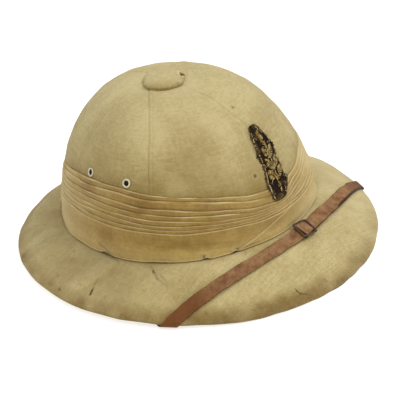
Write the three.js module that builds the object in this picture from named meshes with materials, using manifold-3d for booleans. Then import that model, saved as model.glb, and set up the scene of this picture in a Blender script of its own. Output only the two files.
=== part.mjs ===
// Pith helmet: a moulded pith body under khaki cloth, with a folded cloth band, a vent cap, metal
// eyelets, a worn patch and a leather chin strap laid over the front of the brim.
// Millimetres, +Z up. The front of the hat is -Y and the wearer's right is -X. The origin is on the
// table, under the middle of the brim. Angles go round the hat from the front towards the right.
import * as THREE from 'three';
import Module from 'manifold-3d';

const wasm = await Module();
wasm.setup();

// Driving sizes of the hat
const brimLength = 330;
const brimWidth = 316;
const crownLength = 234.6;
const crownWidth = 215.4;
const crownSetBack = 11.8;
const crownEgg = 0.095;
const crownTop = 147.3;
const crownTopBack = 19.5;
const junctionHeight = 28.5;
const junctionFall = 0.061;
const sideLift = 3.5;
const footAngle = 16;
const brimCurve = 1.5;

// Walls and clearances
const clearance = 0.3;
const cloth = 1;
const pithWall = 7;
const rimRadius = 2.4;
const footShare = 0.95;

// Cloth band
const bandCloth = 1.2;
const foldProud = 1;
const hemProud = 0.5;

// Vent cap
const capRadius = 20;
const capHeight = 4.5;

// Eyelets
const eyeletBore = 1.9;
const eyeletBarrel = 2.4;
const eyeletFlange = 3.7;
const eyeletRise = 0.9;
const eyeletAboveBand = 4.8;

// Patch and its sprig
const patchLength = 60;
const patchWidth = 26;
const patchFelt = 1.4;
const patchBottomAbove = 28;
const patchLean = 4.5;
const patchHeadLean = -12.5;
const patchRide = 5;
const sprigThread = 1.1;
const leafLength = 10.5;
const leafWidth = 4.6;

// Chin strap and its slide
const strapWidth = 12;
const leather = 1.3;
const foldLeather = 0.8;
const keeperLeather = 1;
const keeperWidth = 4;
const strapFromBand = 4.5;
const strapRimAngle = 58;
const strapEndAngle = 82;
const strapEndHeight = 15;
const strapSlack = 1.5;
const strapTailLength = 58;
const slideAt = 5;
const slideLength = 19;
const slideBar = 1.3;
const slideThick = 1;
const slideCentre = 3;
const studShank = 1.5;
const studHead = 4.5;
const studHeadThick = 1.6;
const studDepth = 4;

// Solid steps round the hat, in degrees
const step = 7.5;

// How square the crown is in plan and how full its shoulder is, at the front, side and back
const planBow = { front: 2.09, side: 2.94, back: 2.62 };
const shoulder = { front: 1.86, side: 1.75, back: 2.05 };

// Seams between the six crown panels
const seamAngles = [0, 64.5, 114, 180, 246, 295.5, 360];

// Height of the cloth band above the brim, as shares of the crown's height at the front
const bandHeights = [
  { angle: 0, share: 0.335 },
  { angle: 15, share: 0.365 },
  { angle: 30, share: 0.42 },
  { angle: 45, share: 0.465 },
  { angle: 60, share: 0.497 },
  { angle: 80, share: 0.536 },
  { angle: 95, share: 0.542 },
  { angle: 110, share: 0.532 },
  { angle: 125, share: 0.499 },
  { angle: 150, share: 0.42 },
  { angle: 180, share: 0.39 },
];

// Folds of the band: where each folded edge lies, as a share of the band's height from its top
const folds = [
  { edge: 0.15 },
  { edge: 0.235 },
  { edge: 0.33 },
  { edge: 0.425 },
  { edge: 0.51 },
];
const foldTuck = 0.012;
const bandPlain = [0.66, 0.9];

// Rows up the crown: shares of the band's height, then shares of what is left up to the top
const bandRows = [0, 0.4, 1];
const domeRows = [0.2, 0.4, 0.6, 0.8];
const panelTopRow = 0.93;

// Rows across the brim, and the round of its rim in degrees above and below its own plane
const brimRows = [0.3, 0.65, 1];
const rimTurns = [50, 10, -35, -67];

// Leaves of the sprig: place along the stem from the foot, side and length share
const leaves = [
  { along: 0.2, side: 1, size: 1 },
  { along: 0.2, side: -1, size: 1 },
  { along: 0.42, side: 1, size: 0.92 },
  { along: 0.42, side: -1, size: 0.92 },
  { along: 0.64, side: 1, size: 0.8 },
  { along: 0.64, side: -1, size: 0.8 },
  { along: 0.8, side: 0, size: 1 },
];

const finishes = {
  cloth: { color: 0xc2b285, roughness: 0.95, metalness: 0 },
  pith: { color: 0xcdbb92, roughness: 0.95, metalness: 0 },
  leather: { color: 0x8a5a3c, roughness: 0.6, metalness: 0 },
  metal: { color: 0x5b4a3a, roughness: 0.45, metalness: 0.9 },
  eyelet: { color: 0xb9bcae, roughness: 0.4, metalness: 0.9 },
  felt: { color: 0x2c241d, roughness: 0.95, metalness: 0 },
  thread: { color: 0x8d7a45, roughness: 0.55, metalness: 0.4 },
};

const turn = (degrees) => (degrees * Math.PI) / 180;
const vec = (x, y, z) => new THREE.Vector3(x, y, z);
const mix = (a, b, share) => a + (b - a) * share;

// Value of a front, side and back row at an angle round the hat
function round(row, angle) {
  const c = Math.cos(turn(angle));
  const end = c > 0 ? row.front : row.back;
  return mix(row.side, end, c * c);
}

// Foot of the crown's cloth, where it meets the brim
function junction(angle) {
  const c = Math.cos(turn(angle));
  const s = Math.sin(turn(angle));
  const x = -(crownWidth / 2) * s * (1 + crownEgg * c);
  const y = crownSetBack - (crownLength / 2) * c;
  return vec(x, y, junctionHeight - junctionFall * y);
}

// Outer face of the crown's cloth; up goes from 0 at the brim to 1 at the top
function crownForm(angle, up) {
  const foot = junction(angle);
  const across = Math.cos((up * Math.PI) / 2) ** (2 / round(planBow, angle));
  const rise = Math.sin((up * Math.PI) / 2) ** (2 / round(shoulder, angle));
  return vec(foot.x * across, mix(crownTopBack, foot.y, across), mix(foot.z, crownTop, rise));
}

// Point at a distance outside the crown's cloth
function onCrown(angle, up, out) {
  if (up >= 1) return vec(0, crownTopBack, crownTop + out);
  const small = 0.002;
  const point = crownForm(angle, up);
  const along = crownForm(angle + small * 90, up).sub(crownForm(angle - small * 90, up));
  const rise = crownForm(angle, up + small).sub(crownForm(angle, Math.max(up - small, 0)));
  const normal = along.cross(rise).normalize();
  if (normal.dot(vec(point.x, point.y - crownTopBack, point.z)) < 0) normal.negate();
  return point.addScaledVector(normal, out);
}

// The crown's upward share at a height above the brim
function upAtHeight(angle, height) {
  const share = height / (crownTop - junction(angle).z);
  return (2 / Math.PI) * Math.asin(share ** (round(shoulder, angle) / 2));
}

// The crown's upward share at a radius from its top
function upAtRadius(angle, radius) {
  const foot = junction(angle);
  const reach = Math.hypot(foot.x, foot.y - crownTopBack);
  return (2 / Math.PI) * Math.acos((radius / reach) ** (round(planBow, angle) / 2));
}

// Height of the cloth band's top above the brim, the same on both sides
function bandHeight(angle) {
  const turned = Math.abs(((angle + 540) % 360) - 180);
  const next = Math.max(1, bandHeights.findIndex((row) => row.angle >= turned));
  const a = bandHeights[next - 1];
  const b = bandHeights[next];
  const part = (turned - a.angle) / (b.angle - a.angle);
  const eased = part * part * (3 - 2 * part);
  return mix(a.share, b.share, mix(part, eased, 0.3)) * (crownTop - junction(0).z);
}

// Centre of the rim's round edge: flat on the table at the front and back, raised at the sides
function rimCentre(angle) {
  const s = Math.sin(turn(angle));
  const flat = Math.sin(turn(footAngle)) ** 2;
  const lift = sideLift * Math.max(0, (s * s - flat) / (1 - flat));
  const x = -(brimWidth / 2 - rimRadius) * s;
  const y = -(brimLength / 2 - rimRadius) * Math.cos(turn(angle));
  return vec(x, y, lift + rimRadius * footShare);
}

// Middle of the brim's thickness; out goes from 0 at the crown to 1 at the rim
function brimForm(angle, out) {
  const foot = junction(angle);
  const rim = rimCentre(angle);
  const fall = Math.max(out, 0) ** brimCurve;
  const z = mix(foot.z - rimRadius, rim.z, fall);
  return vec(mix(foot.x, rim.x, out), mix(foot.y, rim.y, out), z);
}

// The brim's upward normal
function brimNormal(angle, out) {
  const small = 0.002;
  const along = brimForm(angle + small * 90, out).sub(brimForm(angle - small * 90, out));
  const across = brimForm(angle, out + small).sub(brimForm(angle, out - small));
  const normal = along.cross(across).normalize();
  return normal.z < 0 ? normal.negate() : normal;
}

// Point at a height over the middle of the brim
function onBrim(angle, out, height) {
  return brimForm(angle, out).addScaledVector(brimNormal(angle, out), height);
}

// The brim's share across, at a distance outside the foot of the crown
function outAtDistance(angle, distance) {
  const rim = rimCentre(angle);
  const foot = junction(angle);
  return distance / Math.hypot(rim.x - foot.x, rim.y - foot.y);
}

// Direction from the rim's centre, turned down from the brim's own plane
function rimDirection(angle, degrees) {
  const small = 0.18;
  const along = rimCentre(angle + small).sub(rimCentre(angle - small)).normalize();
  const up = brimNormal(angle, 1);
  const outward = along.clone().cross(up).normalize();
  if (outward.dot(rimCentre(angle)) < 0) outward.negate();
  const direction = outward.multiplyScalar(Math.cos(turn(degrees)));
  return direction.addScaledVector(up, Math.sin(turn(degrees)));
}

// Point on the round of the rim; its outside is flattened where it stands on the table
function onRim(angle, degrees, radius) {
  const centre = rimCentre(angle);
  const point = centre.clone().addScaledVector(rimDirection(angle, degrees), radius);
  if (radius === rimRadius) point.z = Math.max(point.z, centre.z - rimRadius * footShare);
  return point;
}

// One closed solid from loops of points carried along a path. The ends are capped, or joined to each
// other when the path goes round. Point i of a loop faces point n - 1 - i across its thickness.
// Each four-sided face is split along its shorter diagonal, so that nested faces split alike.
function solid(loops, joined) {
  const positions = [];
  const indexOf = new Map();
  const index = (p) => {
    const key = `${p.x.toFixed(4)} ${p.y.toFixed(4)} ${p.z.toFixed(4)}`.replaceAll('-0.0000', '0.0000');
    if (!indexOf.has(key)) {
      indexOf.set(key, positions.length / 3);
      positions.push(p.x, p.y, p.z);
    }
    return indexOf.get(key);
  };
  const triangles = [];
  const triangle = (a, b, c) => {
    if (a !== b && b !== c && c !== a) triangles.push(a, b, c);
  };
  const place = (i) => new THREE.Vector3().fromArray(positions, i * 3);
  const quad = (a, b, c, d) => {
    if (place(a).distanceTo(place(c)) < place(b).distanceTo(place(d))) {
      triangle(a, b, c);
      triangle(a, c, d);
    } else {
      triangle(a, b, d);
      triangle(b, c, d);
    }
  };
  const ids = loops.map((loop) => loop.map(index));
  const n = ids[0].length;
  const last = joined ? ids.length : ids.length - 1;
  for (let i = 0; i < last; i += 1) {
    const a = ids[i];
    const b = ids[(i + 1) % ids.length];
    for (let j = 0; j < n; j += 1) quad(a[j], b[j], b[(j + 1) % n], a[(j + 1) % n]);
  }
  if (!joined) {
    const first = ids[0];
    const end = ids[ids.length - 1];
    for (let j = 0; j < n / 2 - 1; j += 1) {
      quad(first[j], first[j + 1], first[n - 2 - j], first[n - 1 - j]);
      quad(end[n - 1 - j], end[n - 2 - j], end[j + 1], end[j]);
    }
  }
  return facingOut(positions, triangles);
}

// Geometry with its triangles turned so that they enclose a positive volume
function facingOut(positions, triangles) {
  const at = (i) => new THREE.Vector3().fromArray(positions, i * 3);
  let volume = 0;
  for (let i = 0; i < triangles.length; i += 3) {
    volume += at(triangles[i]).dot(at(triangles[i + 1]).cross(at(triangles[i + 2])));
  }
  if (volume < 0) triangles.reverse();
  const geometry = new THREE.BufferGeometry();
  geometry.setAttribute('position', new THREE.Float32BufferAttribute(positions, 3));
  geometry.setIndex(triangles);
  return geometry;
}

// Merged body of a geometry, for cutting and joining
function body(geometry) {
  const source = geometry.index ? geometry.toNonIndexed() : geometry;
  const p = source.getAttribute('position');
  const vertProperties = [];
  const triVerts = [];
  const seen = new Map();
  for (let i = 0; i < p.count; i += 1) {
    const key = [p.getX(i), p.getY(i), p.getZ(i)].map((value) => Math.round(value * 10000)).join(' ');
    if (!seen.has(key)) {
      seen.set(key, vertProperties.length / 3);
      vertProperties.push(p.getX(i), p.getY(i), p.getZ(i));
    }
    triVerts.push(seen.get(key));
  }
  const kept = [];
  for (let i = 0; i < triVerts.length; i += 3) {
    const [a, b, c] = triVerts.slice(i, i + 3);
    if (a !== b && b !== c && c !== a) kept.push(a, b, c);
  }
  return new wasm.Manifold(
    new wasm.Mesh({
      numProp: 3,
      vertProperties: new Float32Array(vertProperties),
      triVerts: new Uint32Array(kept),
    }),
  );
}

// Geometry of a cut or joined body
function geometryOf(result) {
  const mesh = result.getMesh();
  const geometry = new THREE.BufferGeometry();
  geometry.setAttribute('position', new THREE.BufferAttribute(mesh.vertProperties, 3));
  geometry.setIndex(new THREE.BufferAttribute(mesh.triVerts, 1));
  return geometry;
}

const cut = (geometry, tools) =>
  geometryOf(tools.reduce((left, tool) => left.subtract(body(tool)), body(geometry)));

const join = (pieces) =>
  geometryOf(pieces.slice(1).reduce((sum, piece) => sum.add(body(piece)), body(pieces[0])));

// A thing made along +Y, turned to point along a direction and put at a place
function aim(object, place, direction) {
  object.position.copy(place);
  object.quaternion.setFromUnitVectors(vec(0, 1, 0), direction);
  object.updateMatrixWorld(true);
  return object;
}

const hat = new THREE.Group();

function add(name, geometry, finish) {
  geometry.deleteAttribute('normal');
  geometry.deleteAttribute('uv');
  const mesh = new THREE.Mesh(geometry, new THREE.MeshStandardMaterial(finishes[finish]));
  mesh.name = name;
  hat.add(mesh);
  return mesh;
}

const allAngles = Array.from({ length: 360 / step }, (unused, i) => i * step);

// Upward shares of the rows of the crown at one angle
function crownUps(angle) {
  const band = bandHeight(angle);
  const bandTop = upAtHeight(angle, band);
  const low = bandRows.map((share) => upAtHeight(angle, band * share));
  return [...low, ...domeRows.map((share) => mix(bandTop, 1, share))];
}

// Cylinders that clear the eyelets' barrels and the studs' shanks
function roundTool(place, direction, radius, length) {
  const geometry = new THREE.CylinderGeometry(radius, radius, length, 16);
  const tool = aim(new THREE.Object3D(), place, direction);
  return geometry.applyMatrix4(tool.matrixWorld);
}

// Seats of the eyelets: just above the band, in the side panels
const eyelets = [
  { name: 'eyelet_right_front', angle: 76.5 },
  { name: 'eyelet_right_back', angle: 101 },
  { name: 'eyelet_left_front', angle: -76.5 },
  { name: 'eyelet_left_back', angle: -101 },
].map((row) => {
  const up = upAtHeight(row.angle, bandHeight(row.angle) + eyeletAboveBand);
  const place = onCrown(row.angle, up, 0);
  return { ...row, place, direction: onCrown(row.angle, up, 1).sub(place) };
});

const wallDepth = cloth + clearance + pithWall;
const eyeletHoles = eyelets.map((row) =>
  roundTool(row.place, row.direction, eyeletBarrel + clearance, wallDepth * 3));

// Pith body: crown and brim moulded in one, open below
function shellGeometry() {
  const under = cloth + clearance;
  const core = rimRadius - under;
  const loops = allAngles.map((angle) => {
    const ups = crownUps(angle).reverse();
    const lip = outAtDistance(angle, -wallDepth);
    return [
      onCrown(angle, 1, -under),
      ...ups.map((up) => onCrown(angle, up, -under)),
      onBrim(angle, 0, core),
      ...brimRows.map((out) => onBrim(angle, out, core)),
      onRim(angle, -20, core),
      ...brimRows.toReversed().map((out) => onBrim(angle, out, -core)),
      onBrim(angle, lip, -core),
      ...ups.toReversed().slice(1).map((up) => onCrown(angle, up, -wallDepth)),
      onCrown(angle, 1, -wallDepth),
    ];
  });
  return solid(loops, true);
}

// One cloth panel of the crown between two seams
function panelGeometry(from, to) {
  const angles = [from, ...allAngles.filter((angle) => angle > from && angle < to), to];
  const trim = (angle, row) => {
    const foot = junction(angle);
    const half = (clearance / 2 / Math.hypot(foot.x, foot.y - crownTopBack)) * (180 / Math.PI);
    const room = half / Math.max(0.12, 1 - row);
    if (angle === from) return angle + room;
    return angle === to ? angle - room : angle;
  };
  const loops = angles.map((angle) => {
    const ups = [...crownUps(angle), mix(upAtHeight(angle, bandHeight(angle)), 1, panelTopRow)];
    const place = (up, out) => onCrown(trim(angle, up), up, out);
    return [...ups.map((up) => place(up, 0)), ...ups.toReversed().map((up) => place(up, -cloth))];
  });
  return solid(loops, false);
}

// Cloth of the brim: over its top, round its rim and back under it to the head opening
function brimCoverGeometry() {
  const loops = allAngles.map((angle) => {
    const start = outAtDistance(angle, clearance);
    const lip = outAtDistance(angle, -wallDepth);
    const face = (half, radius) => [
      onBrim(angle, start, half),
      ...brimRows.map((out) => onBrim(angle, out, half)),
      ...rimTurns.map((degrees) => onRim(angle, degrees, radius)),
      ...brimRows.toReversed().map((out) => onBrim(angle, out, -half)),
      onBrim(angle, lip, -half),
    ];
    const inner = rimRadius - cloth;
    return [...face(rimRadius, rimRadius), ...face(inner, inner).reverse()];
  });
  return solid(loops, true);
}

// Point on the cloth band: share from its top down to its hem, at a distance from its inner face
function onBand(angle, share, out) {
  const height = mix(bandHeight(angle), clearance, share);
  return onCrown(angle, upAtHeight(angle, height), clearance + out);
}

// Cloth band: flat folds in its upper half, each with its edge standing proud, and a plain lower half
function bandGeometry() {
  const loops = allAngles.map((angle) => {
    const outer = [onBand(angle, 0, bandCloth + foldProud)];
    folds.forEach((fold) => {
      outer.push(onBand(angle, fold.edge - foldTuck, bandCloth));
      outer.push(onBand(angle, fold.edge, bandCloth + foldProud));
    });
    bandPlain.forEach((share) => outer.push(onBand(angle, share, bandCloth)));
    outer.push(onBand(angle, 1, bandCloth + hemProud));
    const inner = bandRows.map((row) => onBand(angle, 1 - row, 0));
    return [...outer, ...inner];
  });
  return solid(loops, true);
}

// Vent cap: a low cloth-covered dome that follows the top of the crown
function capGeometry() {
  const dome = [
    { radius: 0.45, height: 0.98 },
    { radius: 0.8, height: 0.8 },
    { radius: 0.96, height: 0.5 },
    { radius: 1, height: 0.2 },
  ];
  const loops = allAngles.filter((angle) => angle % 15 === 0).map((angle) => {
    const place = (radius, out) => onCrown(angle, upAtRadius(angle, radius * capRadius), clearance + out);
    return [
      onCrown(angle, 1, clearance + capHeight),
      ...dome.map((row) => place(row.radius, row.height * capHeight)),
      place(1, 0),
      place(0.55, 0),
      onCrown(angle, 1, clearance),
    ];
  });
  return solid(loops, true);
}

// Eyelet: a rolled flange on the cloth and a barrel through the wall
function eyeletGeometry() {
  const profile = [
    [eyeletBore, -wallDepth],
    [eyeletBarrel, -wallDepth],
    [eyeletBarrel, clearance],
    [eyeletFlange, clearance],
    [mix(eyeletFlange, eyeletBarrel, 0.25), clearance + eyeletRise * 0.75],
    [mix(eyeletFlange, eyeletBarrel, 0.7), clearance + eyeletRise],
    [eyeletBore, clearance + eyeletRise * 0.5],
    [eyeletBore, -wallDepth],
  ].map(([r, y]) => new THREE.Vector2(r, y));
  return new THREE.LatheGeometry(profile, 12);
}

// Place on the patch: along from its foot to its head and across from -1 to 1. The patch leans, and
// its foot rides over the top edge of the band.
function onPatch(along, across, out) {
  const bottom = patchBottomAbove;
  const lean = mix(patchLean, patchHeadLean, along);
  const start = crownForm(0, upAtHeight(0, bottom));
  const height = bottom + (patchLength * along) * 0.9;
  const reach = Math.hypot(start.x, start.y - crownTopBack);
  const degrees = (lean + across) / turn(1) / reach;
  const above = height - bandHeight(degrees) - patchRide;
  const fade = Math.min(1, Math.max(0, 1 - above / patchRide));
  const ride = fade * fade * (3 - 2 * fade) * (bandCloth + foldProud + clearance * 2);
  return onCrown(degrees, upAtHeight(degrees, height), clearance + ride + out);
}

// Half width of the patch along its length: a long oval, fuller at the foot
function patchHalf(along) {
  const oval = Math.sqrt(Math.max(0, 1 - (2 * along - 1) ** 2));
  return (patchWidth / 2) * (0.25 + 0.75 * oval) * mix(1, 0.8, along);
}

function patchGeometry() {
  const rows = Array.from({ length: 13 }, (unused, i) => i / 12);
  const spread = [-1, -0.5, 0, 0.5, 1];
  const loops = rows.map((along) => {
    const half = patchHalf(along);
    return [
      ...spread.map((share) => onPatch(along, share * half, patchFelt)),
      ...spread.toReversed().map((share) => onPatch(along, share * half, 0)),
    ];
  });
  return solid(loops, false);
}

// One thread-worked leaf or stem on the patch: a lens from one place to another
function threadGeometry(from, to, width, lift, rows) {
  const long = Math.hypot((to.along - from.along) * patchLength, to.across - from.across);
  const loops = rows.map((share) => {
    const along = mix(from.along, to.along, share);
    const across = mix(from.across, to.across, share);
    const half = (width / 2) * (0.2 + 0.8 * Math.sin(Math.PI * share));
    const sideAlong = (-(to.across - from.across) / long / patchLength) * half;
    const sideAcross = (((to.along - from.along) * patchLength) / long) * half;
    const base = patchFelt + clearance * 1.9;
    return [
      onPatch(along + sideAlong, across + sideAcross, base + sprigThread * 0.3),
      onPatch(along, across, base + sprigThread + lift),
      onPatch(along - sideAlong, across - sideAcross, base + sprigThread * 0.3),
      onPatch(along, across, base),
    ];
  });
  return solid(loops, false);
}

// Sprig: a stem with paired leaves, worked in tarnished metal thread
function sprigGeometry() {
  const foot = 0.1;
  const head = 0.86;
  const stemRows = Array.from({ length: 10 }, (unused, i) => i / 9);
  const leafRows = [0, 0.35, 0.7, 1];
  const stem = threadGeometry({ along: foot, across: 0 }, { along: head, across: 0 }, 1.6, 0.1, stemRows);
  const blades = leaves.map((leaf) => {
    const from = { along: mix(foot, head, leaf.along), across: leaf.side * 0.2 };
    const reach = (leafLength * leaf.size) / patchLength;
    const rise = leaf.side === 0 ? 1 : 0.8;
    const to = {
      along: from.along + reach * rise,
      across: from.across + leaf.side * leafLength * leaf.size * 0.6,
    };
    return threadGeometry(from, to, leafWidth * leaf.size, 0, leafRows);
  });
  return join([stem, ...blades]);
}

// Angle and share across the brim under a place in plan
function underPlan(x, y) {
  const guess = (Math.atan2(-x / brimWidth, -y / brimLength) * 180) / Math.PI;
  const side = (angle) => {
    const foot = junction(angle);
    const rim = rimCentre(angle);
    return (rim.x - foot.x) * (y - foot.y) - (rim.y - foot.y) * (x - foot.x);
  };
  let low = guess - 25;
  let high = guess + 25;
  const lowSide = Math.sign(side(low));
  for (let i = 0; i < 40; i += 1) {
    const middle = (low + high) / 2;
    if (Math.sign(side(middle)) === lowSide) low = middle;
    else high = middle;
  }
  const foot = junction(low);
  const rim = rimCentre(low);
  const out = Math.hypot(x - foot.x, y - foot.y) / Math.hypot(rim.x - foot.x, rim.y - foot.y);
  return { angle: low, out };
}

// Levels of the strap's middle over the cloth of the brim
const lying = clearance + leather / 2;
const onKeeper = clearance + keeperLeather + clearance + leather / 2;
const onShort = clearance + leather + clearance + leather / 2;
const centreBarLevel = clearance + foldLeather + clearance + slideThick / 2;
const foldTop = centreBarLevel + slideThick / 2 + clearance + foldLeather / 2;
const onFold = foldTop + foldLeather / 2 + clearance + leather / 2;

// The strap's line across the front of the brim, a pulled curve from rim to rim
function onStrapLine(x, level) {
  const rim = rimCentre(strapRimAngle);
  const bandFace = clearance + bandCloth + hemProud;
  const middle = junction(0).y - bandFace - strapFromBand - strapWidth / 2;
  const y = mix(middle, rim.y, Math.abs(x / rim.x) ** 1.5);
  const { angle, out } = underPlan(x, y);
  return {
    point: onBrim(angle, out, rimRadius + level),
    up: brimNormal(angle, out),
  };
}

// Strap from stations with a place and an upward direction; width and thickness may change. Where the
// strap bends over an edge, its section lies along the edge, the station's ruling.
function ribbon(stations) {
  const loops = stations.map((station, i) => {
    const before = stations[Math.max(i - 1, 0)].point;
    const after = stations[Math.min(i + 1, stations.length - 1)].point;
    const along = after.clone().sub(before).normalize();
    const across = along.clone().cross(station.up).normalize();
    const ruling = station.ruling?.clone().multiplyScalar(Math.sign(station.ruling.dot(across)));
    const side = station.side ?? ruling ?? across;
    const up = side.clone().cross(along).normalize();
    const half = (station.width ?? strapWidth) / 2;
    const thick = (station.thick ?? leather) / 2;
    const corner = (a, b) => station.point.clone().addScaledVector(side, a).addScaledVector(up, b);
    return [corner(half, thick), corner(-half, thick), corner(-half, -thick), corner(half, -thick)];
  });
  return solid(loops, false);
}

// Heights of the strap's end up the inside of the crown
const strapRises = [0.2, 0.5, 1, 1.35].map((share) => share * strapEndHeight);

// Stations of the strap from the top of the rim, under the brim and up the inside of the crown
function hiddenStations(side) {
  const stations = [];
  const middle = rimRadius + lying + clearance;
  const edge = rimCentre(side * (strapRimAngle + 0.5)).sub(rimCentre(side * (strapRimAngle - 0.5)));
  const perDegree = edge.length();
  edge.normalize();
  const near = onStrapLine(-side * rimX * 0.96, lying).point;
  const along = onStrapLine(-side * rimX * 0.99, lying).point.sub(near).normalize();
  const slant = Math.abs(along.dot(edge));
  const straight = Math.sqrt(1 - slant * slant);
  const wrap = (Math.PI * middle * slant) / straight / perDegree;
  for (let i = 0; i <= 6; i += 1) {
    const angle = side * (strapRimAngle + (wrap * i) / 6);
    const up = rimDirection(angle, 90 - i * 30);
    const point = rimCentre(angle).addScaledVector(up, middle);
    stations.push({ point, up, ruling: edge, width: strapWidth / straight });
  }
  const from = strapRimAngle + wrap;
  const lip = outAtDistance(side * strapEndAngle, -wallDepth);
  for (let i = 2; i <= 8; i += 1) {
    const share = i / 8;
    const angle = side * mix(from, strapEndAngle, 1 - (1 - share) ** 1.15);
    const out = mix(1, lip * 0.8, share);
    const drop = middle + strapSlack * Math.sin((Math.PI * share) / 1.2);
    stations.push({ point: onBrim(angle, out, -drop), up: brimNormal(angle, out).negate() });
  }
  const end = side * strapEndAngle;
  const foot = onCrown(end, 0, -(wallDepth + lying));
  const inward = onCrown(end, 0, -(wallDepth + lying + 1)).sub(foot);
  foot.z -= 2 * rimRadius + lying + strapSlack;
  stations.push({ point: foot, up: inward.clone().add(vec(0, 0, -1)) });
  [-rimRadius, ...strapRises].forEach((height) => {
    const up = upAtHeight(end, Math.max(height, 0));
    const wall = onCrown(end, up, -(wallDepth + lying + strapSlack + clearance));
    wall.z += Math.min(height, 0);
    stations.push({ point: wall, up: inward });
  });
  return stations;
}

// Places along the strap line between two others, about a fixed pitch apart
function between(from, to, pitch) {
  const count = Math.ceil(Math.abs(to - from) / pitch);
  return Array.from({ length: count + 1 }, (unused, i) => mix(from, to, i / count));
}

const rimX = -rimCentre(strapRimAngle).x;
const slideLeft = slideAt - slideLength / 2;
const slideRight = slideAt + slideLength / 2;
const barAt = slideAt + slideCentre;
const keeperFrom = slideLeft + slideBar + 1;
const keeperTo = keeperFrom + keeperWidth;

// Level of the long strap where it goes over its keeper, the folded end and the short strap
const longLevels = [
  { x: -rimX, level: lying },
  { x: slideLeft - 5, level: lying },
  { x: slideLeft - 0.5, level: onKeeper },
  { x: keeperTo + 0.3, level: onKeeper },
  { x: barAt - 1.4, level: onFold },
  { x: barAt + 1.6, level: onFold },
  { x: slideRight - slideBar - 0.2, level: onShort },
  { x: slideAt + strapTailLength, level: onShort },
];

function longLevel(x) {
  const next = Math.max(1, longLevels.findIndex((row) => row.x >= x));
  const a = longLevels[next - 1];
  const b = longLevels[next];
  return mix(a.level, b.level, (x - a.x) / (b.x - a.x));
}

// The longer strap: from its stud inside the right, round the rim, across the brim and through the slide
function longStrapGeometry() {
  const hidden = hiddenStations(1).reverse();
  const places = between(-rimX, slideLeft - 5, 9).slice(2);
  longLevels.slice(2, -1).forEach((row) => places.push(row.x));
  places.push(...between(slideRight + 2, slideAt + strapTailLength, 9));
  const open = places.map((x) => onStrapLine(x, longLevel(x)));
  const tip = open[open.length - 1];
  tip.width = strapWidth * 0.45;
  return ribbon([...hidden, ...open]);
}

// The shorter strap: from its stud inside the left to the slide, its thinned end folded over the bar
function shortStrapGeometry() {
  const hidden = hiddenStations(-1).reverse();
  const places = between(rimX, slideRight + 4, 9).slice(2);
  const open = places.map((x) => onStrapLine(x, lying));
  const turnRadius = slideThick / 2 + clearance + foldLeather / 2;
  const base = onStrapLine(barAt, 0);
  const next = onStrapLine(barAt + 1, 0);
  const along = next.point.clone().sub(base.point).normalize();
  const side = along.clone().cross(base.up).normalize().negate();
  const fold = (x, level) => {
    const spot = onStrapLine(x, level);
    return { ...spot, side, width: strapWidth - 1, thick: foldLeather };
  };
  const folded = [fold(slideRight - 2.6, centreBarLevel - turnRadius)];
  for (let i = 0; i <= 4; i += 1) {
    const around = turn(270 - i * 45);
    folded.push(fold(barAt + turnRadius * Math.cos(around), centreBarLevel + turnRadius * Math.sin(around)));
  }
  folded.push(fold(barAt + 1.4, foldTop));
  return ribbon([...hidden, ...open, ...folded]);
}

// Keeper: a narrow closed loop of leather round the long strap, inside the slide
function keeperGeometry() {
  const inner = { half: strapWidth / 2 + clearance, thick: leather / 2 + clearance };
  const outer = { half: inner.half + keeperLeather, thick: inner.thick + keeperLeather };
  const ends = [keeperFrom, keeperTo].map((x) => {
    const { point, up } = onStrapLine(x, onKeeper);
    const ahead = onStrapLine(x + 1, onKeeper).point.sub(onStrapLine(x - 1, onKeeper).point).normalize();
    const side = ahead.clone().cross(up).normalize();
    return { point, up, side };
  });
  const ring = (size) => [[1, 1], [-1, 1], [-1, -1], [1, -1]].map(([a, b]) => [a * size.half, b * size.thick]);
  const corners = ring(outer).map((far, i) => ({ far, near: ring(inner)[i] }));
  const loops = corners.map(({ far, near }) => {
    const at = (end, [a, b]) => end.point.clone().addScaledVector(end.side, a).addScaledVector(end.up, b);
    return [at(ends[0], far), at(ends[1], far), at(ends[1], near), at(ends[0], near)];
  });
  return solid(loops, true);
}

// Slide: a flat metal frame over the strap, with a centre bar set lower between its two side legs
function slideGeometry() {
  const half = strapWidth / 2 + clearance + keeperLeather + clearance;
  const frameLevel = onKeeper + leather / 2 + clearance + keeperLeather / 2 + slideThick / 2;
  const outline = new THREE.Shape();
  outline.moveTo(-slideLength / 2, -half - slideBar);
  outline.lineTo(slideLength / 2, -half - slideBar);
  outline.lineTo(slideLength / 2, half + slideBar);
  outline.lineTo(-slideLength / 2, half + slideBar);
  outline.closePath();
  const hole = new THREE.Path();
  hole.moveTo(-slideLength / 2 + slideBar, -half);
  hole.lineTo(-slideLength / 2 + slideBar, half);
  hole.lineTo(slideLength / 2 - slideBar, half);
  hole.lineTo(slideLength / 2 - slideBar, -half);
  hole.closePath();
  outline.holes.push(hole);
  const frame = new THREE.ExtrudeGeometry(outline, { depth: slideThick, bevelEnabled: false });
  frame.translate(0, 0, frameLevel - slideThick / 2);
  const bar = new THREE.CylinderGeometry(slideThick / 2, slideThick / 2, (half + slideBar) * 2, 10);
  bar.translate(slideCentre, 0, centreBarLevel);
  const legs = [-1, 1].map((side) => {
    const tall = frameLevel - centreBarLevel + slideThick;
    const leg = new THREE.BoxGeometry(slideThick, slideBar, tall);
    return leg.translate(slideCentre, side * (half + slideBar / 2), (frameLevel + centreBarLevel) / 2);
  });
  const { point, up } = onStrapLine(slideAt, 0);
  const along = onStrapLine(slideRight, 0).point.sub(onStrapLine(slideLeft, 0).point).normalize();
  const side = up.clone().cross(along).normalize();
  const place = new THREE.Matrix4().makeBasis(along, side, along.clone().cross(side));
  place.setPosition(point);
  return join([frame, bar, ...legs]).applyMatrix4(place);
}

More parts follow.
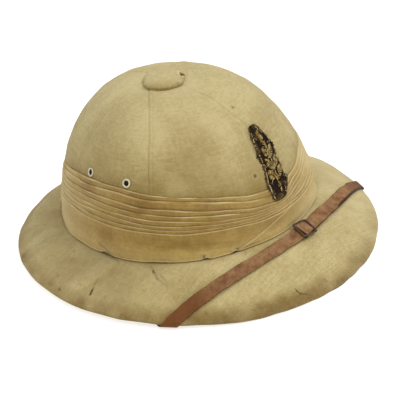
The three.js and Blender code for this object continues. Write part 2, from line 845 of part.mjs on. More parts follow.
// Stud: a plain round head on the strap's end, with its shank in the wall of the crown
function studSeat(side) {
  const angle = side * strapEndAngle;
  const up = upAtHeight(angle, strapEndHeight);
  const behind = wallDepth + lying + strapSlack + clearance;
  const face = onCrown(angle, up, -(behind + leather / 2 + clearance));
  return { face, direction: onCrown(angle, up, -(wallDepth + 20)).sub(face).normalize() };
}

function studGeometry() {
  const depth = clearance * 3 + leather + strapSlack + studDepth;
  const profile = [
    [0, -depth],
    [studShank, -depth],
    [studShank, 0],
    [studHead, 0],
    [studHead * 0.85, studHeadThick * 0.7],
    [0, studHeadThick],
  ].map(([r, y]) => new THREE.Vector2(r, y));
  return new THREE.LatheGeometry(profile, 12);
}

const studs = { right: studSeat(1), left: studSeat(-1) };
const studHoles = Object.fromEntries(Object.entries(studs).map(([side, seat]) => {
  const depth = clearance * 4 + leather + strapSlack + studDepth;
  const middle = seat.face.clone().addScaledVector(seat.direction, -depth / 2);
  return [side, roundTool(middle, seat.direction, studShank + clearance, depth)];
}));

add('shell', cut(shellGeometry(), [...eyeletHoles, studHoles.right, studHoles.left]), 'pith');

seamAngles.slice(0, -1).forEach((from, i) => {
  const holes = eyelets.filter((row) => {
    const angle = (row.angle + 360) % 360;
    return angle > from && angle < seamAngles[i + 1];
  });
  const plain = panelGeometry(from, seamAngles[i + 1]);
  const tools = holes.map((row) => roundTool(row.place, row.direction, eyeletBarrel + clearance, wallDepth));
  add(`crown_panel_${i + 1}`, tools.length ? cut(plain, tools) : plain, 'cloth');
});

add('brim_cover', brimCoverGeometry(), 'cloth');
add('pugaree', bandGeometry(), 'cloth');
add('vent_cap', capGeometry(), 'cloth');
eyelets.forEach((row) => aim(add(row.name, eyeletGeometry(), 'eyelet'), row.place, row.direction));
add('badge_patch', patchGeometry(), 'felt');
add('badge_sprig', sprigGeometry(), 'thread');
add('strap_long', cut(longStrapGeometry(), [studHoles.right]), 'leather');
add('strap_short', cut(shortStrapGeometry(), [studHoles.left]), 'leather');
add('strap_keeper', keeperGeometry(), 'leather');
add('strap_slide', slideGeometry(), 'metal');
Object.entries(studs).forEach(([side, seat]) => {
  aim(add(`strap_stud_${side}`, studGeometry(), 'metal'), seat.face, seat.direction);
});

export default hat;
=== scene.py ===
# Looks of a worn pith helmet: khaki cotton drill over moulded pith, a folded cotton band, a cloth vent
# cap, rolled eyelets, a thread-worked patch and a leather chin strap. Millimetres are used for the
# shapes and turned to metres as each mesh is made. The front is -Y and the wearer's right is -X.
# Angles go round the hat in degrees, from the front towards the wearer's right.
import math

import bmesh
import bpy
import numpy as np
from mathutils import Matrix


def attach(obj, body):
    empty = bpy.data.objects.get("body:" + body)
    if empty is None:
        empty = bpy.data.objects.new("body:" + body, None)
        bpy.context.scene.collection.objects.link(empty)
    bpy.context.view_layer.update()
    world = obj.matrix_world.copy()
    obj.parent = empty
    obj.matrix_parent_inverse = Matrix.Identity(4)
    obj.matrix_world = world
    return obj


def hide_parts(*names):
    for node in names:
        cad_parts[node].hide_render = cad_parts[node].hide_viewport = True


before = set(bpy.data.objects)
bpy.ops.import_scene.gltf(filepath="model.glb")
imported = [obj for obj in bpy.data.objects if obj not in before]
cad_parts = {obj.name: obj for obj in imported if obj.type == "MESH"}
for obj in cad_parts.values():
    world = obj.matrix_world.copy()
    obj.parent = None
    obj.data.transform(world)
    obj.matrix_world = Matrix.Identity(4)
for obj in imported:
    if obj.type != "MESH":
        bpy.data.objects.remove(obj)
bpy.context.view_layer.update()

MM = 0.001

# Sizes that the frame was built with
BRIM_LENGTH = 330
BRIM_WIDTH = 316
CROWN_LENGTH = 234.6
CROWN_WIDTH = 215.4
CROWN_SET_BACK = 11.8
CROWN_EGG = 0.095
CROWN_TOP = 147.3
CROWN_TOP_BACK = 19.5
JUNCTION_HEIGHT = 28.5
JUNCTION_FALL = 0.061
SIDE_LIFT = 3.5
FOOT_ANGLE = 16
BRIM_CURVE = 1.5
GAP = 0.3
CLOTH = 1
WALL = 8.3
RIM = 2.4
FOOT_SHARE = 0.95
PLAN_BOW = (2.09, 2.94, 2.62)
SHOULDER = (1.86, 1.75, 2.05)
SEAMS = [0, 64.5, 114, 180, 246, 295.5, 360]
CAP_RADIUS = 18.2
CAP_HEIGHT = 4.6
CAP_SHIFT = (-2.5, -2.3)
STRAP_WIDTH = 12
STRAP_FROM_BAND = 4.5
BAND_THICK = 1.7
LEATHER = 1.3
THIN = 0.8
STRAP_RIM_ANGLE = 58
STRAP_END_ANGLE = 82
STRAP_END_HEIGHT = 15
STRAP_SLACK = 1.5
STRAP_TAIL = 58
SLIDE_AT = 3.7
SLIDE_LENGTH = 16.6
SLIDE_BAR = 2
SLIDE_CENTRE = 2.6
SLIDE_ASKEW = 13
SLIDE_CORNER = 1.6
WIRE_HALF = 0.5
KEEPER_WIDTH = 4
KEEPER_LEATHER = 1

# Height of the band's top above the brim by angle, as a share of the crown's height at the front
BAND_ANGLES = [0, 15, 30, 45, 60, 80, 95, 110, 125, 150, 180]
BAND_SHARES = [0.335, 0.365, 0.42, 0.465, 0.497, 0.536, 0.542, 0.532, 0.499, 0.42, 0.39]

# Folded edges of the band by angle, as shares of its height from the top; they gather at the front
FOLD_TABLE = {
    -180: [0, 0.07, 0.17, 0.25, 0.32, 0.39, 0.46, 0.52],
    -90: [0, 0.08, 0.16, 0.25, 0.33, 0.41, 0.48, 0.55],
    -45: [0, 0.08, 0.16, 0.24, 0.33, 0.42, 0.50, 0.58],
    -25: [0, 0.08, 0.16, 0.24, 0.33, 0.42, 0.51, 0.60],
    -9: [0, 0.10, 0.19, 0.27, 0.35, 0.43, 0.50, 0.57],
    -1: [0, 0.17, 0.29, 0.35, 0.40, 0.44, 0.48, 0.52],
    12: [0, 0.12, 0.27, 0.34, 0.40, 0.45, 0.49, 0.53],
    30: [0, 0.07, 0.21, 0.29, 0.37, 0.43, 0.49, 0.54],
    50: [0, 0.06, 0.19, 0.27, 0.35, 0.42, 0.48, 0.54],
    110: [0, 0.07, 0.17, 0.25, 0.32, 0.39, 0.46, 0.52],
    180: [0, 0.07, 0.17, 0.25, 0.32, 0.39, 0.46, 0.52],
}
# How far each fold stands proud, in millimetres
FOLD_PROUD = [0.5, 0.75, 1.1, 0.65, 0.8, 0.65, 0.75, 0.9]

# How far each seam turns from its own angle, by radius from the crown's top; seams on the wearer's
# left mirror those on the right
SEAM_TURNS = {
    0: [(20, 5), (35, 3.5), (49, -1), (64, -1.5), (77, -3.5), (86, -4.5), (105, -2), (120, 0)],
    64.5: [(12, 30), (30, 18), (40, 10.5), (50, 6.5), (61, 3.5), (77, 1), (88, 0.5), (98, 0)],
    114: [(12, 18), (18, 16), (27, 10), (36, 5), (44, 1.5), (59, 0)],
    180: [(20, 0)],
}

# Small marks on the crown: angle, height above the brim, size, how dark and how pale its ring is
CROWN_MARKS = [(-7.75, 95.0, 1.1, 1.2, 0.0), (10.5, 53.0, 1.3, 1.1, 0.3)]
# Angle over which a surface's slope is measured, in degrees
PROBE = 0.18


# Shapes

def from_table(front, side, back, angle):
    """Value that turns from front to side to back with the square of the angle's cosine."""
    c = np.cos(np.radians(angle))
    return side + (np.where(c > 0, front, back) - side) * c * c


def junction(angle):
    """Foot of the crown: an egg-shaped oval, wider behind, that falls a little towards the back."""
    c = np.cos(np.radians(angle))
    s = np.sin(np.radians(angle))
    y = CROWN_SET_BACK - CROWN_LENGTH / 2 * c
    x = -(CROWN_WIDTH / 2) * s * (1 + CROWN_EGG * c)
    return np.stack([x, y, JUNCTION_HEIGHT - JUNCTION_FALL * y], -1)


def crown_form(angle, up):
    """Crown: each meridian is a superellipse, cos(up) to 2/bow across and sin(up) to 2/shoulder up."""
    foot = junction(angle)
    across = np.cos(np.clip(up, 0, 1) * np.pi / 2) ** (2 / from_table(*PLAN_BOW, angle))
    rise = np.sin(np.clip(up, 0, 1) * np.pi / 2) ** (2 / from_table(*SHOULDER, angle))
    y = CROWN_TOP_BACK + (foot[..., 1] - CROWN_TOP_BACK) * across
    z = foot[..., 2] + (CROWN_TOP - foot[..., 2]) * rise
    return np.stack([foot[..., 0] * across, y, z], -1)


def unit(vectors):
    """Vectors of length one."""
    return vectors / np.maximum(np.linalg.norm(vectors, axis=-1, keepdims=True), 1e-9)


def on_crown(angle, up, out):
    """Point at a distance outside the crown's cloth, along the cross product of its two slopes."""
    angle, up, out = np.broadcast_arrays(angle, up, out)
    safe = np.minimum(up, 0.999)
    along = crown_form(angle + PROBE, safe) - crown_form(angle - PROBE, safe)
    rise = crown_form(angle, safe + 0.001) - crown_form(angle, np.maximum(safe - 0.002, 0))
    normal = unit(np.cross(along, rise))
    point = crown_form(angle, up)
    outward = point - [0, CROWN_TOP_BACK, 0]
    normal = normal * np.sign((normal * outward).sum(-1, keepdims=True))
    normal = np.where(up[..., None] > 0.998, [0.0, 0.0, 1.0], normal)
    return point + normal * out[..., None]


def up_at_height(angle, height):
    """The crown's upward share at a height above the brim."""
    share = np.clip(height / (CROWN_TOP - junction(angle)[..., 2]), 0, 1)
    return 2 / np.pi * np.arcsin(share ** (from_table(*SHOULDER, angle) / 2))


def up_at_radius(angle, radius):
    """The crown's upward share at a radius from its top."""
    foot = junction(angle)
    reach = np.hypot(foot[..., 0], foot[..., 1] - CROWN_TOP_BACK)
    return 2 / np.pi * np.arccos((radius / reach) ** (from_table(*PLAN_BOW, angle) / 2))


def signed(angle):
    """The same angle between -180 and 180 degrees."""
    return (np.asarray(angle, float) + 180) % 360 - 180


def band_height(angle):
    """Height of the band's top above the brim: the table's rows joined by eased slopes."""
    turned = np.abs(signed(angle))
    rows = np.array(BAND_ANGLES, float)
    shares = np.array(BAND_SHARES)
    place = np.clip(np.searchsorted(rows, turned, side="left"), 1, len(rows) - 1)
    part = (turned - rows[place - 1]) / (rows[place] - rows[place - 1])
    part = part + 0.3 * (part * part * (3 - 2 * part) - part)
    share = shares[place - 1] + (shares[place] - shares[place - 1]) * part
    return share * (CROWN_TOP - junction(0.0)[..., 2])


def band_top(angle):
    """Height of the cloth band's top: the frame's, but 13 % lower on the wearer's left, as in the photo."""
    return band_height(angle) * (1 - 0.13 * bump_at(signed(angle) + 74, 26))


def rim_centre(angle):
    """Centre of the rim's round: an oval, flat on the table in front and behind, raised at the sides."""
    s = np.sin(np.radians(angle))
    flat = math.sin(math.radians(FOOT_ANGLE)) ** 2
    lift = SIDE_LIFT * np.maximum(0, (s * s - flat) / (1 - flat))
    y = -(BRIM_LENGTH / 2 - RIM) * np.cos(np.radians(angle))
    return np.stack([-(BRIM_WIDTH / 2 - RIM) * s, y, lift + RIM * FOOT_SHARE], -1)


def brim_form(angle, out):
    """Middle of the brim: straight in plan from crown to rim, falling with out to the power 1.5."""
    foot = junction(angle)
    rim = rim_centre(angle)
    share = np.asarray(out)[..., None]
    flat = foot + (rim - foot) * share
    start = foot[..., 2] - RIM
    z = start + (rim[..., 2] - start) * np.maximum(out, 0) ** BRIM_CURVE
    return np.concatenate([flat[..., :2], z[..., None]], -1)


def brim_normal(angle, out):
    """Upward normal of the brim, from the cross product of its two slopes."""
    along = brim_form(angle + PROBE, out) - brim_form(angle - PROBE, out)
    across = brim_form(angle, out + 0.002) - brim_form(angle, out - 0.002)
    normal = unit(np.cross(along, across))
    return normal * np.sign(normal[..., 2:3])


def on_brim(angle, out, height):
    """Point at a height over the middle of the brim."""
    angle, out, height = np.broadcast_arrays(angle, out, height)
    return brim_form(angle, out) + brim_normal(angle, out) * height[..., None]


def out_at_distance(angle, distance):
    """The brim's share across, at a distance outside the foot of the crown."""
    rim = rim_centre(angle)
    foot = junction(angle)
    return distance / np.hypot(rim[..., 0] - foot[..., 0], rim[..., 1] - foot[..., 1])


def rim_direction(angle, degrees):
    """Direction from the rim's centre, turned down from the brim's own plane by degrees."""
    along = unit(rim_centre(angle + PROBE) - rim_centre(angle - PROBE))
    up = brim_normal(angle, np.ones_like(angle))
    outward = unit(np.cross(along, up))
    outward = outward * np.sign((outward * rim_centre(angle)).sum(-1, keepdims=True))
    lean = np.radians(degrees)
    return outward * np.cos(lean)[..., None] + up * np.sin(lean)[..., None]


def on_rim(angle, degrees, radius):
    """Point on the round of the rim, flattened where it stands on the table."""
    angle, degrees = np.broadcast_arrays(np.asarray(angle, float), np.asarray(degrees, float))
    centre = rim_centre(angle)
    point = centre + rim_direction(angle, degrees) * radius
    low = centre[..., 2] - radius * FOOT_SHARE
    point[..., 2] = np.maximum(point[..., 2], low)
    return point


def unevenness(points, size, seed):
    """Soft hand-made unevenness: the sum of 14 seeded sine waves about size millimetres long."""
    seeded = np.random.default_rng(seed)
    ways = unit(seeded.normal(size=(14, 3)))
    waves = ways * (2 * np.pi / (size * seeded.uniform(0.7, 1.5, (14, 1))))
    phase = seeded.uniform(0, 2 * np.pi, 14)
    return np.sin(points @ waves.T + phase).sum(-1) / math.sqrt(7)


def bump_at(distance, width):
    """A bell curve: 1 at no distance, and fading over width."""
    return np.exp(-((distance / width) ** 2))


def step_up(value, low, high):
    """0 below low, 1 above high and an eased slope between them."""
    part = np.clip((value - low) / (high - low), 0, 1)
    return part * part * (3 - 2 * part)


def blotches(points, size, seed, low, high):
    """Soft patches, where the unevenness rises from low to high."""
    return step_up(unevenness(points, size, seed), low, high)


def spread_angles(count, places):
    """Angles round the hat, five times as close near some places: a density's running sum, inverted."""
    fine = np.linspace(-180, 180, 7201)
    density = 1 + 5 * sum(bump_at(fine - place, width) for place, width in places)
    total = np.concatenate([[0], np.cumsum((density[1:] + density[:-1]) / 2)])
    return np.interp(np.linspace(0, total[-1], count, endpoint=False), total, fine)


def from_segment(points, start, end):
    """Distance of points from the straight line between two places."""
    along = np.clip(((points - start) @ (end - start)) / max((end - start) @ (end - start), 1e-9), 0, 1)
    return np.linalg.norm(points - start - along[..., None] * (end - start), axis=-1)


def run_lengths(rows):
    """Length along each row of points, from its first point."""
    return np.cumsum(np.linalg.norm(np.diff(rows, axis=1, prepend=rows[:, :1]), axis=-1), axis=1)


def there_and_back(front, back):
    """Rings over a wall's front face, then over its back face in reverse."""
    return np.concatenate([front, back[:, ::-1]], 1)


def rounded_section(count):
    """Places from 1 to -1 across a strip, closer at its edges."""
    return np.sin(np.linspace(np.pi / 2, -np.pi / 2, count)) * 0.999


# Meshes

# Depth within which a hole is cut, in millimetres, and sides of a thread
HOLE_DEPTH = 20
THREAD_SIDES = 5


def make_piece(name, points, faces, corner_flat, marks, material, nodes, weld=False):
    """Object from arrays: points in millimetres, four-cornered faces, flat cloth places and marks."""
    used, faces = np.unique(faces, return_inverse=True)
    faces = faces.reshape(-1, 4)
    points = points[used]
    corners = points[faces]
    first = np.cross(corners[:, 1] - corners[:, 0], corners[:, 2] - corners[:, 0])
    second = np.cross(corners[:, 2] - corners[:, 0], corners[:, 3] - corners[:, 0])
    if (corners[:, 0] * (first + second)).sum() < 0:
        faces = faces[:, ::-1]
        corner_flat = corner_flat[:, ::-1]
    mesh = bpy.data.meshes.new(name)
    mesh.vertices.add(len(points))
    mesh.vertices.foreach_set("co", (points * MM).astype(np.float32).ravel())
    mesh.loops.add(faces.size)
    mesh.loops.foreach_set("vertex_index", faces.astype(np.int32).ravel())
    mesh.polygons.add(len(faces))
    mesh.polygons.foreach_set("loop_start", np.arange(0, faces.size, 4, dtype=np.int32))
    mesh.polygons.foreach_set("use_smooth", np.ones(len(faces), bool))
    mesh.update(calc_edges=True)
    mesh.uv_layers.new(name="flat").data.foreach_set("uv", corner_flat.astype(np.float32).ravel())
    for key, values in marks.items():
        attribute = mesh.attributes.new(key, "FLOAT", "POINT")
        attribute.data.foreach_set("value", values.reshape(-1)[used].astype(np.float32))
    if weld:
        worked = bmesh.new()
        worked.from_mesh(mesh)
        bmesh.ops.remove_doubles(worked, verts=worked.verts, dist=2e-6)
        worked.to_mesh(mesh)
        worked.free()
    mesh.validate()
    piece = bpy.data.objects.new(name, mesh)
    bpy.context.scene.collection.objects.link(piece)
    mesh.materials.append(material)
    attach(piece, "root")
    if nodes:
        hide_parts(*nodes)
    return piece


def wall_piece(name, loops, joined, flat, material, nodes, slot, holes=(), weld=False, **marks):
    """Closed wall from rings loops[angle, step], whose point i faces point n - 1 - i across the wall.
    The rings are joined round the hat, or closed at both ends. A hole leaves out the faces inside its
    radius, draws the points round it onto its circle and walls its side."""
    rows, count = loops.shape[:2]
    ids = np.arange(rows * count).reshape(rows, count)
    here = ids if joined else ids[:-1]
    after = np.roll(ids, -1, axis=0) if joined else ids[1:]
    faces = np.stack([here, after, np.roll(after, -1, 1), np.roll(here, -1, 1)], -1)
    kept = np.ones(faces.shape[:2], bool)
    points = loops.copy()
    half = count // 2
    extra = []
    for hole in holes:
        offset = points - hole["place"]
        along = offset @ hole["axis"]
        radial = offset - along[..., None] * hole["axis"]
        distance = np.linalg.norm(radial, axis=-1)
        inside = (distance < hole["radius"]) & (np.abs(along) < HOLE_DEPTH)
        inside[:, half:] = inside[:, :half][:, ::-1]
        out_faces = faces[:, : half - 1]
        gone = inside.reshape(-1)[out_faces].any(-1)
        kept[:, : half - 1] &= ~gone
        kept[:, half:-1] &= ~gone[:, ::-1]
        edge_ids = np.unique(out_faces[gone])
        edge_ids = np.concatenate([edge_ids, edge_ids - 2 * (edge_ids % count) + count - 1])
        row, column = edge_ids // count, edge_ids % count
        pulled = radial[row, column] / np.maximum(distance[row, column], 1e-6)[:, None]
        target = hole["place"] + along[row, column][:, None] * hole["axis"] + pulled * hole["radius"]
        points[row, column] = target
        padded = np.pad(gone, 1)
        core = padded[1:-1, 1:-1]
        for shift_row, shift_column, a, b in [(0, -1, 0, 1), (1, 0, 1, 2), (0, 1, 2, 3), (-1, 0, 3, 0)]:
            beside = np.roll(np.roll(padded, -shift_row, 0), -shift_column, 1)[1:-1, 1:-1]
            edges = out_faces[core & ~beside]
            start, end = edges[:, a], edges[:, b]
            mirror = [side - 2 * (side % count) + count - 1 for side in (end, start)]
            extra.append(np.stack([start, end, *mirror], -1))
    flat_here, flat_after = flat[:-1], flat[1:]
    corner = np.stack([flat_here, flat_after, np.roll(flat_after, -1, 1), np.roll(flat_here, -1, 1)], -2)
    all_faces = [faces[kept]]
    all_corners = [corner[kept]]
    if not joined:
        j = np.arange(half - 1)
        around = np.stack([j, j + 1, count - 2 - j, count - 1 - j], -1)
        extra.extend([ids[0][around], ids[-1][around[:, ::-1]]])
    for group in extra:
        all_faces.append(group)
        all_corners.append(flat.reshape(-1, 2)[group])
    return make_piece(name, points.reshape(-1, 3), np.concatenate(all_faces), np.concatenate(all_corners),
                      marks, material, nodes, weld)


def lathe_piece(name, profile, place, axis, count, material, nodes, slot, **marks):
    """Turned piece: the profile's radius and height go round the axis at a place."""
    axis = unit(np.asarray(axis, float))
    side = unit(np.cross(axis, [0.3, 0.2, 1.0]))
    other = np.cross(axis, side)
    turned = np.linspace(0, 2 * np.pi, count, endpoint=False)[:, None]
    radius, height = np.array(profile, float).T
    ring = side * np.cos(turned)[..., None] + other * np.sin(turned)[..., None]
    loops = place + ring * radius[None, :, None] + axis * height[None, :, None]
    around = np.linspace(0, 2 * np.pi, count + 1)[:, None] * radius[None]
    flat = np.stack([around, np.broadcast_to(height, around.shape)], -1)
    values = {key: np.broadcast_to(value, (count, len(profile))).copy() for key, value in marks.items()}
    return wall_piece(name, loops, True, flat, material, nodes, slot, weld=True, **values)


def thread_piece(name, paths, radius, ups, tint, material, nodes):
    """Threads: round tubes along paths[thread, step], tapered to closed ends."""
    count, steps = paths.shape[:2]
    along = unit(np.gradient(paths, axis=1))
    side = unit(np.cross(along, ups))
    lift = np.cross(side, along)
    turned = np.arange(THREAD_SIDES) * 2 * np.pi / THREAD_SIDES
    ring = side[:, :, None] * np.cos(turned)[:, None] + lift[:, :, None] * np.sin(turned)[:, None]
    thick = np.repeat(radius[:, None], steps, 1)
    thick[:, 0] = thick[:, -1] = 0
    points = paths[:, :, None] + ring * thick[:, :, None, None]
    ids = np.arange(count * steps * THREAD_SIDES).reshape(count, steps, THREAD_SIDES)
    faces = np.stack([ids[:, :-1], ids[:, 1:], np.roll(ids, -1, 2)[:, 1:], np.roll(ids, -1, 2)[:, :-1]], -1)
    length = run_lengths(paths)
    flat = np.stack(np.broadcast_arrays(length[:, :, None], turned), -1)
    corner = flat.reshape(-1, 2)[faces.reshape(-1, 4)]
    tints = np.broadcast_to(np.asarray(tint, float)[:, None, None], ids.shape)
    return make_piece(name, points.reshape(-1, 3), faces.reshape(-1, 4), corner,
                      {"tint": tints.copy()}, material, nodes, weld=True)


# Materials

def colour(hex_text):
    """Linear colour from an sRGB hex value."""
    parts = [int(hex_text[i:i + 2], 16) / 255 for i in (1, 3, 5)]
    return [p / 12.92 if p <= 0.04045 else ((p + 0.055) / 1.055) ** 2.4 for p in parts] + [1.0]


def new_material(name):
    """A node material with one Principled shader, and that shader."""
    material = bpy.data.materials.new(name)
    material.use_nodes = True
    return material, material.node_tree, material.node_tree.nodes["Principled BSDF"]


def add_node(tree, kind, sockets=None, **settings):
    """Adds a node, sets its properties, and sets or links its named or numbered inputs."""
    made = tree.nodes.new(kind)
    for key, value in settings.items():
        setattr(made, key, value)
    for key, value in (sockets or {}).items():
        if isinstance(value, bpy.types.NodeSocket):
            tree.links.new(value, made.inputs[key])
        else:
            made.inputs[key].default_value = value
    return made


# Blender's band wave repeats every 0.314 / scale of its coordinates
WAVE_REPEAT = 0.314
# Tones of the mark and pale attributes: grime and painted shade, bleached cloth and painted highlights
GRIME_AND_SHADE = "#3a2814"
BLEACH_AND_HIGHLIGHT = "#cfc193"


def drill_material(name, tones, thread_mm, slub, weave_bump, stain_and_shade, patch_mm):
    """Cotton drill: pale and deep dye in soft patches, thin and thick threads as streaks both ways, a
    weave raised in bump, and soiling, marks and pale places where the piece's attributes say; the same
    attributes also carry painted shade and painted highlights."""
    material, tree, shader = new_material(name)
    flat = add_node(tree, "ShaderNodeUVMap", uv_map="flat").outputs["UV"]
    place = add_node(tree, "ShaderNodeTexCoord").outputs["Object"]
    broad = add_node(tree, "ShaderNodeTexNoise", {"Vector": place, "Scale": 1 / (patch_mm * MM),
                     "Detail": 5.0, "Roughness": 0.62}).outputs["Fac"]
    broad = add_node(tree, "ShaderNodeMapRange", {"Value": broad, "From Min": 0.32, "From Max": 0.7})
    fine = add_node(tree, "ShaderNodeTexNoise", {"Vector": place, "Scale": 1 / (3.2 * MM),
                    "Detail": 3.0, "Roughness": 0.7}).outputs["Fac"]
    streaks = []
    for scale in ((1 / 22, 1 / 1.1, 1), (1 / 1.1, 1 / 22, 1)):
        stretched = add_node(tree, "ShaderNodeMapping", {"Vector": flat, "Scale": scale})
        streaks.append(add_node(tree, "ShaderNodeTexNoise", {"Vector": stretched.outputs[0], "Scale": 1.0,
                       "Detail": 2.0, "Roughness": 0.6}).outputs["Fac"])
    both = add_node(tree, "ShaderNodeMath", {0: streaks[1], 1: 0.45, 2: streaks[0]},
                    operation="MULTIPLY_ADD").outputs[0]
    both = add_node(tree, "ShaderNodeMath", {0: fine, 1: 1.3, 2: both}, operation="MULTIPLY_ADD").outputs[0]
    grain = add_node(tree, "ShaderNodeMapRange", {"Value": both, "From Min": 1.0, "From Max": 1.75,
                     "To Min": -slub, "To Max": slub}).outputs[0]
    amount = add_node(tree, "ShaderNodeMath", {0: broad.outputs[0], 1: grain}, operation="ADD",
                      use_clamp=True).outputs[0]
    dyed = add_node(tree, "ShaderNodeMix", {0: amount, 6: colour(tones[1]), 7: colour(tones[0])},
                    data_type="RGBA").outputs[2]
    dirt = add_node(tree, "ShaderNodeAttribute", attribute_name="dirt").outputs["Fac"]
    spread = add_node(tree, "ShaderNodeTexNoise", {"Vector": place, "Scale": 1 / (9 * MM), "Detail": 6.0,
                      "Roughness": 0.7}).outputs["Fac"]
    spread = add_node(tree, "ShaderNodeMapRange", {"Value": spread, "From Min": 0.25, "From Max": 0.75,
                      "To Min": 0.6, "To Max": 1.2}).outputs[0]
    dirt = add_node(tree, "ShaderNodeMath", {0: dirt, 1: spread}, operation="MULTIPLY",
                    use_clamp=True).outputs[0]
    mark, pale = [add_node(tree, "ShaderNodeAttribute", attribute_name=key).outputs["Fac"]
                  for key in ("mark", "pale")]
    # Soiling and painted shade take the soiled tone, marks and painted shade the grime tone, pale places and
    # painted highlights the bleached tone
    for share, tone in ((dirt, stain_and_shade), (mark, GRIME_AND_SHADE), (pale, BLEACH_AND_HIGHLIGHT)):
        dyed = add_node(tree, "ShaderNodeMix", {0: share, 6: dyed, 7: colour(tone)},
                        data_type="RGBA").outputs[2]
    tree.links.new(dyed, shader.inputs["Base Color"])
    waves = [add_node(tree, "ShaderNodeTexWave", {"Vector": flat, "Scale": WAVE_REPEAT / thread_mm,
                      "Distortion": 1.2, "Detail": 2.0}, bands_direction=way).outputs["Fac"]
             for way in ("X", "Y")]
    weave = add_node(tree, "ShaderNodeMath", {0: waves[0], 1: waves[1]}, operation="ADD").outputs[0]
    height = add_node(tree, "ShaderNodeMath", {0: both, 1: 0.9, 2: weave},
                      operation="MULTIPLY_ADD").outputs[0]
    bump = add_node(tree, "ShaderNodeBump", {"Height": height, "Strength": weave_bump,
                    "Distance": 0.35 * MM}).outputs[0]
    tree.links.new(bump, shader.inputs["Normal"])
    shader.inputs["Roughness"].default_value = 0.93
    shader.inputs["Specular IOR Level"].default_value = 0.25
    shader.inputs["Sheen Weight"].default_value = 0.12
    shader.inputs["Sheen Roughness"].default_value = 0.6
    return material


def leather_material(name):
    """Old harness leather, vegetable tanned: reddish tan, dark at cut edges and where it bent, with painted
    shade where the dark attribute says, pale scuffs, fine grain and cracks across."""
    material, tree, shader = new_material(name)
    flat = add_node(tree, "ShaderNodeUVMap", uv_map="flat").outputs["UV"]
    place = add_node(tree, "ShaderNodeTexCoord").outputs["Object"]
    cloud = add_node(tree, "ShaderNodeTexNoise", {"Vector": place, "Scale": 1 / (11 * MM), "Detail": 6.0,
                     "Roughness": 0.68}).outputs["Fac"]
    cloud = add_node(tree, "ShaderNodeMapRange", {"Value": cloud, "From Min": 0.38, "From Max": 0.62})
    tan = add_node(tree, "ShaderNodeMix", {0: cloud.outputs[0], 6: colour("#8a5a32"), 7: colour("#c19566")},
                   data_type="RGBA").outputs[2]
    handled, dark = [add_node(tree, "ShaderNodeAttribute", attribute_name=key).outputs["Fac"]
                     for key in ("tint", "dark")]
    stretched = add_node(tree, "ShaderNodeMapping", {"Vector": flat, "Scale": (1 / 1.2, 1 / 14, 1)})
    crack = add_node(tree, "ShaderNodeTexNoise", {"Vector": stretched.outputs[0], "Scale": 1.0,
                     "Detail": 4.0, "Roughness": 0.7}).outputs["Fac"]
    cracked = add_node(tree, "ShaderNodeMapRange", {"Value": crack, "From Min": 0.56, "From Max": 0.74,
                       "To Max": 0.6}).outputs[0]
    scuff = add_node(tree, "ShaderNodeTexNoise", {"Vector": place, "Scale": 1 / (2.4 * MM), "Detail": 5.0,
                     "Roughness": 0.75}).outputs["Fac"]
    worn = add_node(tree, "ShaderNodeMapRange", {"Value": scuff, "From Min": 0.58, "From Max": 0.76,
                    "To Max": 0.4}).outputs[0]
    for share, tone in ((handled, "#7c4305"), (dark, "#2c1a02"), (cracked, "#5d3019"), (worn, "#bd8955")):
        tan = add_node(tree, "ShaderNodeMix", {0: share, 6: tan, 7: colour(tone)},
                       data_type="RGBA").outputs[2]
    tree.links.new(tan, shader.inputs["Base Color"])
    pores = add_node(tree, "ShaderNodeTexVoronoi", {"Vector": place, "Scale": 1 / (0.9 * MM)}).outputs[0]
    height = add_node(tree, "ShaderNodeMath", {0: crack, 1: -1.6, 2: pores}, operation="MULTIPLY_ADD")
    bump = add_node(tree, "ShaderNodeBump", {"Height": height.outputs[0], "Strength": 0.35,
                    "Distance": 0.25 * MM})
    tree.links.new(bump.outputs[0], shader.inputs["Normal"])
    rough = add_node(tree, "ShaderNodeMapRange", {"Value": scuff, "From Min": 0.3, "From Max": 0.7,
                     "To Min": 0.5, "To Max": 0.78}).outputs[0]
    tree.links.new(rough, shader.inputs["Roughness"])
    shader.inputs["Specular IOR Level"].default_value = 0.22
    return material


def metal_material(name, clean, tarnish, metal, low, high):
    """Cast or rolled metal with a dull skin: clean where it rubs, tarnish in soft patches, and painted shade
    near black where the dark attribute says.
    """
    material, tree, shader = new_material(name)
    place = add_node(tree, "ShaderNodeTexCoord").outputs["Object"]
    cloud = add_node(tree, "ShaderNodeTexNoise", {"Vector": place, "Scale": 1 / (1.8 * MM), "Detail": 5.0,
                     "Roughness": 0.65}).outputs["Fac"]
    worn = add_node(tree, "ShaderNodeAttribute", attribute_name="worn").outputs["Fac"]
    amount = add_node(tree, "ShaderNodeMath", {0: cloud, 1: worn}, operation="ADD").outputs[0]
    amount = add_node(tree, "ShaderNodeMapRange", {"Value": amount, "From Min": 0.4, "From Max": 0.85})
    skin = add_node(tree, "ShaderNodeMix", {0: amount.outputs[0], 6: colour(tarnish), 7: colour(clean)},
                    data_type="RGBA").outputs[2]
    # Painted shade, near black
    dark = add_node(tree, "ShaderNodeAttribute", attribute_name="dark").outputs["Fac"]
    skin = add_node(tree, "ShaderNodeMix", {0: dark, 6: skin, 7: colour("#15100b")},
                    data_type="RGBA").outputs[2]
    tree.links.new(skin, shader.inputs["Base Color"])
    rough = add_node(tree, "ShaderNodeMapRange", {"Value": amount.outputs[0], "To Min": high, "To Max": low})
    tree.links.new(rough.outputs[0], shader.inputs["Roughness"])
    bump = add_node(tree, "ShaderNodeBump", {"Height": cloud, "Strength": 0.3, "Distance": 0.08 * MM})
    tree.links.new(bump.outputs[0], shader.inputs["Normal"])
    shader.inputs["Metallic"].default_value = metal
    shader.inputs["Specular IOR Level"].default_value = 0.3
    return material


